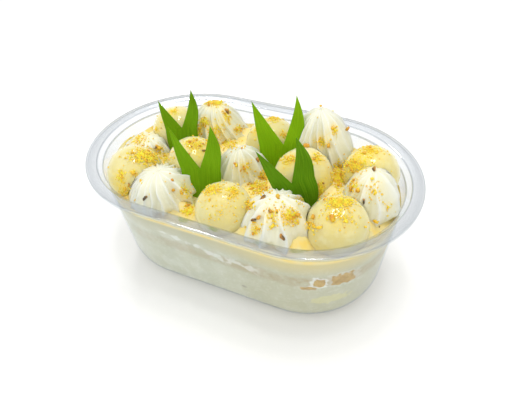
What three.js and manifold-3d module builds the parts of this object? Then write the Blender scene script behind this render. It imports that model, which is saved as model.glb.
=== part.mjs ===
// A dessert tub of layered mousse, topped with peeled lychees, piped cream rosettes,
// forked leaf cuts and golden crumbs. Millimetres, +Z up, the tub's foot on z = 0.
import * as THREE from "three";
import { mergeVertices } from "three/addons/utils/BufferGeometryUtils.js";
import Module from "manifold-3d";

const wasm = await Module();
wasm.setup();

// ---- driving sizes ---------------------------------------------------------------------
const CLEARANCE = 0.3; // between touching pieces

const TUB = {
  length: 165, // over the flange
  width: 102, // over the flange, and the ends are half circles of this diameter
  height: 63,
  wall: 0.7,
  taper: 6.4, // how much further in the wall stands at the foot than at the rim
  footRadius: 14,
  flange: 5.3, // flat width of the flange
  flangeRise: 0.7, // the flange climbs this much to its outer edge
  seatWidth: 1.8, // sloping seat for a lid, inside the flange
  seatDepth: 2.5,
  lip: 1.5, // the edge is turned down by this much
  arcSteps: 14, // facets round each half-circle end
  sideSteps: 3, // and along each straight side
  footSteps: 5, // facets of the rounded foot
};

const FILL = {
  cakeBottom: 30.5, // level of the cake layer's underside
  cakeTop: 40.6,
  mousseTop: 49.4, // level of the filling, below the toppings
  relief: 0.9, // how much these levels wander up and down
};

const LEVEL = 50; // height from which leaf sizes are measured

// Detail is the number of times that a lychee's faces are split, and of the hollow it lies in.
const LYCHEE = { detail: 3, hollowDetail: 2, hollowExtra: 0.3, unevenness: 0.35 };
const LYCHEES = [
  { at: [-49.0, 16.8, 56.6], radius: 14.0 },
  { at: [-50.5, -21.3, 56.2], radius: 13.9 },
  { at: [-24.9, -6.4, 56.6], radius: 14.1 },
  { at: [1.9, -28.2, 55.6], radius: 13.9 },
  { at: [2.7, 25.9, 56.5], radius: 14.1 },
  { at: [27.5, 4.3, 57.1], radius: 14.3 },
  { at: [56.8, 14.2, 61.3], radius: 13.9 },
  { at: [51.8, -19.7, 55.7], radius: 14.1 },
];

const FLUTES = 12;
// Rosette rings from the foot up: share of the radius, share of the height, flute depth.
const ROSETTE_RINGS = [
  [0.88, 0.0, 0.05],
  [0.86, 0.2, 0.07],
  [1.0, 0.32, 0.14],
  [0.97, 0.45, 0.15],
  [0.84, 0.63, 0.16],
  [0.58, 0.82, 0.17],
  [0.24, 0.96, 0.16],
];
const ROSETTE_FOOT = 47.5; // their feet go a little below the mousse's highest level
const ROSETTES = [
  { at: [-27.6, 26.4], radius: 15.0, top: 73.4, lean: [-2.3, -0.6] },
  { at: [-59.3, -0.6], radius: 14.3, top: 63.2, lean: [3.2, -0.6] },
  { at: [-31.2, -26.4], radius: 16.6, top: 69.2, lean: [1.4, -3.0] },
  { at: [-0.4, 0.6], radius: 13.4, top: 70.9, lean: [-1.3, -3.2] },
  { at: [31.0, 27.0], radius: 15.6, top: 80.5, lean: [-3.5, 0.0] },
  { at: [60.9, -0.8], radius: 13.5, top: 73.6, lean: [0.0, 0.5] },
  { at: [26.6, -26.6], radius: 16.2, top: 70.5, lean: [0.5, 0.0] },
];

const LEAF = {
  thickness: 0.5,
  facing: 27, // degrees that the leaves are turned about +Z
  leanBack: 10, // degrees back, against the lychee behind
  footHalfWidth: 3.2,
  foot: -2.2, // the end of the foot, stuck into the mousse
  shoulderHeight: 13,
  rows: [4, 4], // of its facets, below and above the notch
  roomRows: [4, 2], // of the slot that it stands in
  roomExtra: 0.2, // the slot's spare room, with the clearance
  scraped: 4, // cream is scraped away this far behind the leaf that cuts its edge
  belly: [0.2, 2.0], // how far the left and right prongs' outer edges bow out
  wave: 0.35, // half of the wander of its surface, at the height of the level below
  cup: 0.012, // its sides curl forward by this much times the square of the distance
  waveLength: 19,
  standOff: 0.9, // from the lychee it leans on to the middle of the leaf
};
// Places and sizes along the leaf's own plane; roll turns it in that plane.
const LEAVES = [
  {
    on: 0, along: 2.9, roll: 0, left: [-8.4, 33.2], right: [8.2, 37.5],
    notch: [1.2, 17.7], half: [7, 9],
  },
  {
    on: 2, along: 2.6, roll: 0, left: [-10.4, 38], right: [7.8, 37.2],
    notch: [1, 16.3], half: [7.6, 10.6],
  },
  {
    on: 4, along: 2, roll: 0, left: [-11.7, 37.8], right: [9.2, 39.1],
    notch: [2.7, 14.4], half: [9, 11.8],
  },
  {
    on: 5, along: -1, roll: 18, left: [-10, 38.2], right: [7.6, 37],
    notch: [-1, 16.8], half: [9.4, 9.4],
  },
];

const CRUMB = { smallest: 0.75, largest: 1.35, sunk: 0.35, tries: 60 };
const CRUMBS_PER_LYCHEE = [2, 6, 2, 3, 3, 3, 4, 5];
const CRUMBS_PER_ROSETTE = [5, 3, 3, 3, 3, 4, 5];

const COLOURS = {
  plastic: 0xe6eaee,
  mousse: 0xf1f1e4,
  cake: 0xe3cf9c,
  lychee: 0xe6dca0,
  cream: 0xf3f4ee,
  leaf: 0x3f8a12,
};

// ---- helpers ---------------------------------------------------------------------------
function seeded(seed) {
  let state = seed >>> 0;
  return () => {
    state = (state + 0x6d2b79f5) >>> 0;
    let mixed = Math.imul(state ^ (state >>> 15), 1 | state);
    mixed = (mixed + Math.imul(mixed ^ (mixed >>> 7), 61 | mixed)) ^ mixed;
    return ((mixed ^ (mixed >>> 14)) >>> 0) / 4294967296;
  };
}

const radians = THREE.MathUtils.degToRad;
const between = (low, high, share) => low + (high - low) * share;

function geometryFrom(points, triangles) {
  const geometry = new THREE.BufferGeometry();
  geometry.setAttribute("position", new THREE.Float32BufferAttribute(points.flat(), 3));
  geometry.setIndex(triangles.flat());
  return geometry;
}

// Merges shared corners and drops the slivers that collapse onto an axis.
function welded(geometry) {
  const bare = geometry.clone();
  for (const name of Object.keys(bare.attributes)) {
    if (name !== "position") bare.deleteAttribute(name);
  }
  const merged = mergeVertices(bare, 1e-4);
  const index = merged.index.array;
  const kept = [];
  for (let i = 0; i < index.length; i += 3) {
    const [a, b, c] = [index[i], index[i + 1], index[i + 2]];
    if (a !== b && b !== c && c !== a) kept.push(a, b, c);
  }
  merged.setIndex(kept);
  return merged;
}

function toSolid(geometry) {
  const merged = welded(geometry);
  return new wasm.Manifold(
    new wasm.Mesh({
      numProp: 3,
      vertProperties: Float32Array.from(merged.attributes.position.array),
      triVerts: Uint32Array.from(merged.index.array),
    }),
  );
}

function toGeometry(solid) {
  const mesh = solid.getMesh();
  const geometry = new THREE.BufferGeometry();
  geometry.setAttribute("position", new THREE.BufferAttribute(mesh.vertProperties, 3));
  geometry.setIndex(new THREE.BufferAttribute(mesh.triVerts, 1));
  return geometry;
}

// A cut can leave scraps behind, and only the largest piece is kept.
function largestPiece(solid) {
  const pieces = solid.decompose();
  return pieces.reduce((best, piece) => (piece.volume() > best.volume() ? piece : best));
}

const without = (solid, tools) => tools.reduce((left, tool) => left.subtract(tool), solid);

// ---- the tub's plan and section --------------------------------------------------------
const END_CENTRE = (TUB.length - TUB.width) / 2; // the two half circles' centres lie at +-this
const RIM_RADIUS = TUB.width / 2;
const WALL_TOP = TUB.height - TUB.flangeRise - TUB.seatDepth;
const WALL_TOP_RADIUS = RIM_RADIUS - TUB.flange - TUB.seatWidth;
const WALL_ANGLE = Math.atan2(TUB.taper, WALL_TOP);

// Directions round the plan: a centre on the long axis and an angle about it.
function planStations() {
  const stations = [];
  for (const side of [1, -1]) {
    const turn = side > 0 ? -Math.PI / 2 : Math.PI / 2;
    for (let i = 0; i < TUB.arcSteps; i++) {
      stations.push([side * END_CENTRE, turn + (Math.PI * i) / TUB.arcSteps]);
    }
    for (let i = 0; i < TUB.sideSteps; i++) {
      const along = side * between(END_CENTRE, -END_CENTRE, i / TUB.sideSteps);
      stations.push([along, turn + Math.PI]);
    }
  }
  return stations;
}
const STATIONS = planStations();

// Sweeps rings round the plan; a ring is [radius, height], and the height can be a function.
function sweptRoundPlan(rings) {
  const points = [];
  const triangles = [];
  for (const [radius, height] of rings) {
    for (const [centre, angle] of STATIONS) {
      const x = centre + radius * Math.cos(angle);
      const y = radius * Math.sin(angle);
      points.push([x, y, typeof height === "function" ? height(x, y) : height]);
    }
  }
  const count = STATIONS.length;
  for (let ring = 0; ring + 1 < rings.length; ring++) {
    const inward = rings[ring][0] >= rings[ring + 1][0];
    for (let i = 0; i < count; i++) {
      const next = (i + 1) % count;
      const [a, b] = [ring * count + i, ring * count + next];
      const [c, d] = [b + count, a + count];
      // Both faces of a joint between layers are split along the same diagonals.
      if (inward) triangles.push([a, b, c], [a, c, d]);
      else triangles.push([a, b, d], [b, c, d]);
    }
  }
  return welded(geometryFrom(points, triangles));
}

// The tub's side, from the middle of its foot to a height, set in by an inset.
function sideSection(inset, topHeight) {
  const [cosine, sine] = [Math.cos(WALL_ANGLE), Math.sin(WALL_ANGLE)];
  const wallRadius = (height) => WALL_TOP_RADIUS - (WALL_TOP - height) * Math.tan(WALL_ANGLE);
  const tangentHeight = TUB.footRadius * (1 - sine);
  const arcCentre = wallRadius(tangentHeight) - TUB.footRadius * cosine;
  const radius = TUB.footRadius - inset;
  const section = [[0, inset]];
  for (let i = 0; i <= TUB.footSteps; i++) {
    const angle = between(-Math.PI / 2, -WALL_ANGLE, i / TUB.footSteps);
    section.push([arcCentre + radius * Math.cos(angle), TUB.footRadius + radius * Math.sin(angle)]);
  }
  section.push([wallRadius(topHeight) - inset / cosine, topHeight]);
  return section;
}

function insideRadius(height) {
  return sideSection(TUB.wall + CLEARANCE, height).at(-1)[0];
}

function tub() {
  const { height, wall, flange, flangeRise, seatWidth, lip } = TUB;
  const seatTop = [RIM_RADIUS - flange, height - flangeRise];
  const outside = sideSection(0, WALL_TOP - wall / 2);
  const inside = sideSection(wall, WALL_TOP);
  const rim = [
    [seatTop[0] - wall / 3, seatTop[1] - wall],
    [RIM_RADIUS - wall, height - wall],
    [RIM_RADIUS - wall, height - lip],
    [RIM_RADIUS - wall / 4, height - lip],
    [RIM_RADIUS, height - wall / 2],
    [RIM_RADIUS - wall / 2, height],
    seatTop,
    [seatTop[0] - seatWidth / 3, seatTop[1] - wall],
  ];
  return sweptRoundPlan([...outside, ...rim, ...inside.reverse()]);
}

// ---- the filling -----------------------------------------------------------------------
function wander(x, y, phase) {
  const slow = Math.sin(0.11 * x + phase) * Math.cos(0.12 * y + 1.7 * phase);
  const quick = Math.sin(0.27 * x + 0.21 * y + 2.3 * phase);
  return FILL.relief * (0.6 * slow + 0.4 * quick);
}
const cakeUnderside = (x, y) => FILL.cakeBottom + wander(x, y, 0.4);
const cakeSurface = (x, y) => FILL.cakeTop + 0.6 * wander(x, y, 2.1);
const mousseSurface = (x, y) => FILL.mousseTop + 0.7 * wander(x, y, 4.0);
const raised = (surface, by) => (x, y) => surface(x, y) + by;

// Rings of an uneven face, from its edge to the middle or back.
const SHARES = [1, 0.6, 0];
const faceRings = (radius, surface) => SHARES.map((share) => [share * radius, surface]);

function layer(bottom, bottomLevel, top, topLevel) {
  const underside = faceRings(insideRadius(bottomLevel - FILL.relief), bottom).reverse();
  const upper = faceRings(insideRadius(topLevel - FILL.relief), top);
  return sweptRoundPlan([...underside, ...upper]);
}

function mousseBase() {
  const section = sideSection(TUB.wall + CLEARANCE, FILL.cakeBottom / 2);
  const radius = insideRadius(FILL.cakeBottom - FILL.relief);
  return sweptRoundPlan([...section, ...faceRings(radius, raised(cakeUnderside, -CLEARANCE))]);
}

// All the room inside the tub, open upwards, that nothing on the filling may leave.
function insideSpace() {
  const top = 120;
  const section = sideSection(TUB.wall + CLEARANCE, WALL_TOP - 1);
  const flare = RIM_RADIUS - TUB.flange - TUB.seatWidth - TUB.wall - CLEARANCE;
  return toSolid(sweptRoundPlan([...section, [flare, top], [0, top]]));
}

// ---- lychees ---------------------------------------------------------------------------
function lycheeSolid({ at, radius }, order, detail, extra) {
  const geometry = new THREE.IcosahedronGeometry(radius, detail);
  const place = geometry.attributes.position;
  const direction = new THREE.Vector3();
  for (let i = 0; i < place.count; i++) {
    direction.fromBufferAttribute(place, i).normalize();
    const swell =
      Math.sin(2.1 * direction.x + 1.3 * order) * Math.cos(1.7 * direction.y + order) +
      0.5 * Math.sin(3.1 * direction.z + 0.7 * order);
    direction.multiplyScalar(radius + extra + LYCHEE.unevenness * swell);
    place.setXYZ(i, direction.x + at[0], direction.y + at[1], direction.z + at[2]);
  }
  return toSolid(geometry);
}

// ---- piped cream -----------------------------------------------------------------------
function rosetteGeometry({ at, radius, top, lean }, order) {
  const random = seeded(100 + order);
  const tall = top - ROSETTE_FOOT;
  const turn = random() * Math.PI;
  const swirl = between(0.05, 0.22, random());
  const swells = Array.from({ length: FLUTES }, () => between(-0.05, 0.05, random()));
  const around = 2 * FLUTES; // a crest and a groove for each flute
  const points = [[at[0], at[1], ROSETTE_FOOT]];
  for (const [width, rise, depth] of ROSETTE_RINGS) {
    for (let i = 0; i < around; i++) {
      const angle = turn + swirl * rise + (2 * Math.PI * i) / around;
      const groove = i % 2 === 0 ? 1 : 1 - depth;
      const reach = radius * width * groove * (1 + swells[Math.floor(i / 2)] * width);
      points.push([
        at[0] + lean[0] * rise + reach * Math.cos(angle),
        at[1] + lean[1] * rise + reach * Math.sin(angle),
        ROSETTE_FOOT + tall * rise,
      ]);
    }
  }
  points.push([at[0] + lean[0], at[1] + lean[1], top]);
  const triangles = [];
  const last = points.length - 1;
  for (let i = 0; i < around; i++) {
    const next = (i + 1) % around;
    triangles.push([0, 1 + next, 1 + i]);
    for (let ring = 0; ring + 1 < ROSETTE_RINGS.length; ring++) {
      const [a, b] = [1 + ring * around + i, 1 + ring * around + next];
      triangles.push([a, b, b + around], [a, b + around, a + around]);
    }
    triangles.push([last - around + i, last - around + next, last]);
  }
  return geometryFrom(points, triangles);
}

// ---- leaves ----------------------------------------------------------------------------
// The forked leaf, flat: rows of three points below the notch, then one row set a prong.
function leafOutline({ left, right, notch, half, foot, footHalfWidth }, [rowsBelow, rowsAbove]) {
  const points = [];
  const triangles = [];
  const edge = (height, width) => {
    const climbed = Math.min(1, (height - foot) / (LEAF.shoulderHeight - foot));
    return between(footHalfWidth, width, Math.sin((climbed * Math.PI) / 2));
  };
  const strip = (previous, row) => {
    for (let i = 0; i + 1 < row.length; i++) {
      triangles.push([previous[i], previous[i + 1], row[i + 1]], [previous[i], row[i + 1], row[i]]);
    }
  };
  const addRow = (corners) => corners.map((corner) => points.push(corner) - 1);
  let row = null;
  for (let i = 0; i <= rowsBelow; i++) {
    const height = between(foot, notch[1], i / rowsBelow);
    const middle = (notch[0] * i) / rowsBelow;
    const [low, high] = [-edge(height, half[0]), edge(height, half[1])];
    const across = [low, (low + middle) / 2, middle, (middle + high) / 2, high];
    const next = addRow(across.map((x) => [x, height]));
    if (row) strip(row, next);
    row = next;
  }
  for (const [tip, start, side] of [
    [left, row.slice(0, 3), -1],
    [right, row.slice(2), 1],
  ]) {
    let previous = start;
    const outer = points[side < 0 ? start[0] : start[2]];
    for (let i = 1; i < rowsAbove; i++) {
      const share = i / rowsAbove;
      const belly = side * LEAF.belly[side < 0 ? 0 : 1] * Math.sin(Math.PI * share);
      const out = [between(outer[0], tip[0], share) + belly, between(outer[1], tip[1], share)];
      const inner = [between(notch[0], tip[0], share), between(notch[1], tip[1], share)];
      inner[0] += 0.35 * belly;
      const middle = [(out[0] + inner[0]) / 2, (out[1] + inner[1]) / 2];
      const next = addRow(side < 0 ? [out, middle, inner] : [inner, middle, out]);
      strip(previous, next);
      previous = next;
    }
    const point = points.push(tip) - 1;
    triangles.push([previous[0], previous[1], point], [previous[1], previous[2], point]);
  }
  return { points, triangles };
}

// Gives a flat triangulated sheet two like faces and a rim.
function thickened(front, back, triangles) {
  const count = front.length;
  const all = [];
  const edges = new Map();
  for (const [a, b, c] of triangles) {
    all.push([a, b, c], [count + a, count + c, count + b]);
    for (const [from, to] of [[a, b], [b, c], [c, a]]) {
      if (!edges.delete(`${to},${from}`)) edges.set(`${from},${to}`, [from, to]);
    }
  }
  for (const [from, to] of edges.values()) {
    all.push([to, from, count + from], [to, count + from, count + to]);
  }
  return geometryFrom([...front, ...back], all);
}

// The leaf's own directions, and the point of its plane at the level that it is measured from.
function leafFrame(leaf) {
  const lychee = LYCHEES[leaf.on];
  const [facing, lean] = [LEAF.facing, LEAF.leanBack].map(radians);
  const across = new THREE.Vector3(Math.cos(facing), Math.sin(facing), 0);
  const back = new THREE.Vector3(-Math.sin(facing), Math.cos(facing), 0);
  const up = new THREE.Vector3(0, 0, Math.cos(lean)).addScaledVector(back, Math.sin(lean));
  const normal = new THREE.Vector3().crossVectors(across, up);
  const start = new THREE.Vector3(...lychee.at);
  start.addScaledVector(normal, lychee.radius + LEAF.standOff);
  start.addScaledVector(up, (LEVEL - start.z) / up.z);
  return { start, across, up, normal };
}

// Extra grows the outline and both faces; deeper pushes the front and the rear face out further.
function leafGeometry(leaf, order, rows, extra, deeper = [0, 0]) {
  const grown = {
    left: [leaf.left[0] - extra, leaf.left[1] + 2 * extra],
    right: [leaf.right[0] + extra, leaf.right[1] + 2 * extra],
    notch: [leaf.notch[0], leaf.notch[1] + 2 * extra],
    half: leaf.half.map((width) => width + extra),
    foot: LEAF.foot - extra,
    footHalfWidth: LEAF.footHalfWidth + extra,
  };
  const { points, triangles } = leafOutline(grown, rows);
  const { start, across, up, normal } = leafFrame(leaf);
  const roll = radians(leaf.roll);
  const place = ([x, y], offset) => {
    const [a, b] = [
      x * Math.cos(roll) - y * Math.sin(roll),
      x * Math.sin(roll) + y * Math.cos(roll),
    ];
    const phase = (2 * Math.PI * (y + 0.6 * x)) / LEAF.waveLength + order;
    const bend = (2 * LEAF.wave * Math.sin(phase) * y) / LEVEL;
    const cup = LEAF.cup * x * x;
    return start
      .clone()
      .addScaledVector(across, leaf.along + a)
      .addScaledVector(up, b)
      .addScaledVector(normal, bend + cup + offset)
      .toArray();
  };
  const half = LEAF.thickness / 2 + extra;
  const front = points.map((point) => place(point, half + deeper[0]));
  const rear = points.map((point) => place(point, -half - deeper[1]));
  return thickened(front, rear, triangles);
}

// ---- crumbs ----------------------------------------------------------------------------
// Fuses crumbs to a solid, on the side that looks up, wherever they clear everything else.
function withCrumbs(solid, { centre, reach, count, seed }, neighbours) {
  const random = seeded(seed);
  let result = solid;
  let left = count;
  for (let attempt = 0; attempt < CRUMB.tries && left > 0; attempt++) {
    const angle = 2 * Math.PI * random();
    const slope = 0.95 * Math.sqrt(random());
    const size = between(CRUMB.smallest, CRUMB.largest, random());
    const stretch = [random(), random(), random()].map((value) => between(0.75, 1.2, value));
    const spin = random() * Math.PI;
    const direction = new THREE.Vector3(
      slope * Math.cos(angle),
      slope * Math.sin(angle),
      Math.sqrt(1 - slope * slope),
    );
    const spot = surfacePoint(solid, centre, direction, reach);
    if (!spot) continue;
    spot.addScaledVector(direction, size * (1 - CRUMB.sunk) - size * 0.5);
    const grain = new THREE.IcosahedronGeometry(size, 0);
    grain.scale(...stretch).rotateX(spin).rotateZ(2 * spin);
    grain.translate(spot.x, spot.y, spot.z);
    const crumb = toSolid(grain);
    const roomy = crumbRoom(spot, size + CLEARANCE);
    if (neighbours.some((other) => !roomy.intersect(other).isEmpty())) continue;
    result = result.add(crumb);
    left -= 1;
  }
  return largestPiece(result);
}

function crumbRoom(spot, radius) {
  const ball = new THREE.IcosahedronGeometry(radius * 1.25, 1);
  ball.translate(spot.x, spot.y, spot.z);
  return toSolid(ball);
}

// Where a line from the centre outwards leaves the solid.
function surfacePoint(solid, centre, direction, reach) {
  const geometry = toGeometry(solid);
  const mesh = new THREE.Mesh(geometry, new THREE.MeshBasicMaterial({ side: THREE.DoubleSide }));
  const from = new THREE.Vector3(...centre).addScaledVector(direction, reach);
  const ray = new THREE.Raycaster(from, direction.clone().negate(), 0, reach);
  const hit = ray.intersectObject(mesh)[0];
  return hit ? hit.point : null;
}

// ---- putting it together ---------------------------------------------------------------
const lychees = LYCHEES.map((lychee, order) => lycheeSolid(lychee, order, LYCHEE.detail, 0));
const lycheeRooms = LYCHEES.map((lychee, order) =>
  lycheeSolid(lychee, order, LYCHEE.hollowDetail, CLEARANCE + LYCHEE.hollowExtra),
);
const leafShapes = LEAVES.map((leaf, order) => leafGeometry(leaf, order, LEAF.rows, 0));
const leafRoom = (leaf, order, deeper) =>
  toSolid(leafGeometry(leaf, order, LEAF.roomRows, CLEARANCE + LEAF.roomExtra, deeper));
const leafRooms = LEAVES.map((leaf, order) => leafRoom(leaf, order, [0, 0]));

// A leaf that cuts the edge of a rosette leaves no thin fin of cream on its far side.
const scrapedRooms = ({ at }) =>
  LEAVES.map((leaf, order) => {
    const { start, normal } = leafFrame(leaf);
    const inFront = new THREE.Vector3(at[0], at[1], start.z).sub(start).dot(normal) > 0;
    return leafRoom(leaf, order, inFront ? [0, LEAF.scraped] : [LEAF.scraped, 0]);
  });
const space = insideSpace();

const cakeLayer = layer(cakeUnderside, FILL.cakeBottom, cakeSurface, FILL.cakeTop);
const mousseGeometry = (rise) =>
  layer(
    raised(cakeSurface, CLEARANCE),
    FILL.cakeTop,
    raised(mousseSurface, rise),
    FILL.mousseTop,
  );
const mousseTop = largestPiece(without(toSolid(mousseGeometry(0)), [...lycheeRooms, ...leafRooms]));
const mousseRoom = toSolid(mousseGeometry(CLEARANCE));

const rosettes = ROSETTES.map((rosette, order) => {
  const whole = toSolid(rosetteGeometry(rosette, order)).intersect(space);
  return largestPiece(without(whole, [mousseRoom, ...lycheeRooms, ...scrapedRooms(rosette)]));
});

const leafSolids = leafShapes.map(toSolid);
const others = (list, order) => list.filter((_, index) => index !== order);
const crumbedLychees = lychees.map((solid, order) => {
  const { at, radius } = LYCHEES[order];
  const plan = { centre: at, reach: 2 * radius, count: CRUMBS_PER_LYCHEE[order], seed: 300 + order };
  return withCrumbs(solid, plan, [mousseTop, ...rosettes, ...leafSolids, ...others(lychees, order)]);
});
const crumbedRosettes = rosettes.map((solid, order) => {
  const { at, radius } = ROSETTES[order];
  const plan = {
    centre: [at[0], at[1], FILL.mousseTop + 4],
    reach: 3 * radius,
    count: CRUMBS_PER_ROSETTE[order],
    seed: 500 + order,
  };
  return withCrumbs(solid, plan, [mousseTop, ...crumbedLychees, ...leafSolids, ...others(rosettes, order)]);
});

const object = new THREE.Group();

function addPiece(name, geometry, look) {
  const mesh = new THREE.Mesh(geometry, new THREE.MeshStandardMaterial({ metalness: 0, ...look }));
  mesh.name = name;
  object.add(mesh);
}

addPiece("tub", tub(), { color: COLOURS.plastic, roughness: 0.08, transparent: true, opacity: 0.35 });
addPiece("mousse_base", mousseBase(), { color: COLOURS.mousse, roughness: 0.5 });
addPiece("cake_layer", cakeLayer, { color: COLOURS.cake, roughness: 0.8 });
addPiece("mousse_top", toGeometry(mousseTop), { color: COLOURS.mousse, roughness: 0.5 });
crumbedLychees.forEach((solid, order) => {
  addPiece(`lychee_${order + 1}`, toGeometry(solid), { color: COLOURS.lychee, roughness: 0.2 });
});
crumbedRosettes.forEach((solid, order) => {
  addPiece(`cream_${order + 1}`, toGeometry(solid), { color: COLOURS.cream, roughness: 0.45 });
});
leafShapes.forEach((geometry, order) => {
  addPiece(`leaf_${order + 1}`, geometry, { color: COLOURS.leaf, roughness: 0.35 });
});

export default object;
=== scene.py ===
"""The looks of a mousse cup: a clear oval tub of layered mousse and cake under peeled
lychees, piped cream rosettes, forked leaves and a sprinkling of golden crumbs.

Lengths are in metres, +Z up, and the tub's foot stands on z = 0."""
import math
import random
from itertools import pairwise
from types import SimpleNamespace

import bmesh
import bpy
import numpy as np
from bpy.props import FloatProperty, FloatVectorProperty, IntProperty, PointerProperty
from mathutils import Matrix, Vector, noise
from mathutils.bvhtree import BVHTree


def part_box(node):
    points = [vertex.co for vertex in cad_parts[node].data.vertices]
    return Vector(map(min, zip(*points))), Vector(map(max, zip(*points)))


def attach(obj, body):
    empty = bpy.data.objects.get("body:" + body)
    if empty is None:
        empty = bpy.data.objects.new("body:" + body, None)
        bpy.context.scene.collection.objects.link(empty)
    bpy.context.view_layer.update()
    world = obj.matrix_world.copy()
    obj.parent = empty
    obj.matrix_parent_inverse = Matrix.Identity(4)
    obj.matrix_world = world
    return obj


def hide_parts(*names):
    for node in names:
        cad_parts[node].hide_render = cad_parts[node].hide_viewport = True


bl_info = {
    "name": "Mousse Cup",
    "version": (1, 0, 0),
    "blender": (4, 5, 0),
    "location": "3D View > Sidebar > Mousse Cup",
    "description": "Models a clear tub of mousse with lychees, cream, leaves and crumbs",
    "category": "Add Mesh",
}

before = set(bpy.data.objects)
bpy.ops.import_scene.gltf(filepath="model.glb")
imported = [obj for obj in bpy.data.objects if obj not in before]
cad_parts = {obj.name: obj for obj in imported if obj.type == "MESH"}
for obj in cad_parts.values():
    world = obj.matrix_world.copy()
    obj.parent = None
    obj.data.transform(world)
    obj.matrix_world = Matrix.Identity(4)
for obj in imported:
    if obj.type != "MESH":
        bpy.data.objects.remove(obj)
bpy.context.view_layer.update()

MM = 0.001
BODY = "root"
CORNER = math.radians(40)  # edges of the filling that are sharper than this stay crisp

# ---- what the frame says about the tub ---------------------------------------------------
TUB_LOW, TUB_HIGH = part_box("tub")
RIM_HEIGHT = TUB_HIGH.z
RIM_RADIUS = (TUB_HIGH.y - TUB_LOW.y) / 2
END_CENTRE = TUB_HIGH.x - RIM_RADIUS  # the centres of the two round ends lie at +-this

# ---- places, in millimetres --------------------------------------------------------------
LEVEL = 49.9  # height from which the leaves are measured

# A rosette's middle, radius and top, how far its top leans over, its flutes and their depth,
# and the side where its flutes are widest: its direction in degrees and how much wider they are.
ROSETTES = [
    {"at": (-27.6, 26.4), "radius": 15.0, "top": 73.4, "lean": (-2.3, -0.6),
     "flutes": 15, "depth": 0.22, "wide": (20, 0.6)},
    {"at": (-59.3, -0.6), "radius": 14.3, "top": 63.2, "lean": (3.2, -0.6),
     "flutes": 14, "depth": 0.2, "wide": (90, 0.5)},
    {"at": (-31.2, -26.4), "radius": 16.6, "top": 69.2, "lean": (1.4, -3.0),
     "flutes": 19, "depth": 0.22, "wide": (-12, 1.4)},
    {"at": (-0.4, 0.6), "radius": 13.4, "top": 70.9, "lean": (-1.3, -3.2),
     "flutes": 15, "depth": 0.24, "wide": (0, 0.9)},
    {"at": (31.0, 27.0), "radius": 15.6, "top": 80.5, "lean": (-3.5, 0.0),
     "flutes": 21, "depth": 0.2, "wide": (0, 1.0)},
    {"at": (60.9, -0.8), "radius": 13.5, "top": 73.6, "lean": (0.0, 0.5),
     "flutes": 15, "depth": 0.21, "wide": (-22, 2.6)},
    {"at": (26.6, -26.6), "radius": 16.2, "top": 70.5, "lean": (0.5, 0.0),
     "flutes": 15, "depth": 0.23, "wide": (-24, 2.6)},
]
# Rosette profile from the foot up: share of the radius, share of the height, flute strength.
ROSETTE_PROFILE = [
    (0.84, 0.0, 0.2),
    (0.8, 0.1, 0.3),
    (0.88, 0.19, 0.5),
    (1.02, 0.24, 0.7),
    (1.04, 0.33, 0.8),
    (0.97, 0.46, 0.95),
    (0.87, 0.6, 1.05),
    (0.73, 0.745, 1.1),
    (0.54, 0.865, 1.0),
    (0.34, 0.94, 0.8),
    (0.16, 0.985, 0.4),
    (0.0, 1.0, 0.0),
]

# Spots between the toppings where the filling stays low.
HOLLOWS = [(46.0, -34.0)]

# A leaf leans on a lychee. Its sizes are measured in its own plane, from the level up: its shift
# along the plane, its roll in degrees, its tips, its notch and the half widths left and right.
# Its shade runs from the dark green to the bright one.
LEAVES = [
    {"on": 1, "along": 2.9, "roll": 0, "left": (-8.4, 33.2), "right": (8.2, 37.5),
     "notch": (1.2, 17.7), "half": (7.0, 9.0), "shade": 0.35},
    {"on": 3, "along": 2.6, "roll": 0, "left": (-10.4, 38.0), "right": (7.8, 37.2),
     "notch": (1.0, 16.3), "half": (7.6, 10.6), "shade": 0.5},
    {"on": 5, "along": 2.0, "roll": 0, "left": (-11.7, 37.8), "right": (9.2, 39.1),
     "notch": (2.7, 14.4), "half": (9.0, 11.8), "shade": 0.92},
    {"on": 6, "along": -1.0, "roll": 18, "left": (-10.0, 38.2), "right": (7.6, 37.0),
     "notch": (-1.0, 16.8), "half": (9.4, 9.4), "shade": 0.0},
]

# ---- the picture -------------------------------------------------------------------------
PICTURE = SimpleNamespace(width=512, height=400, focal=476, column=249.4, row=207.4)

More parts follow.
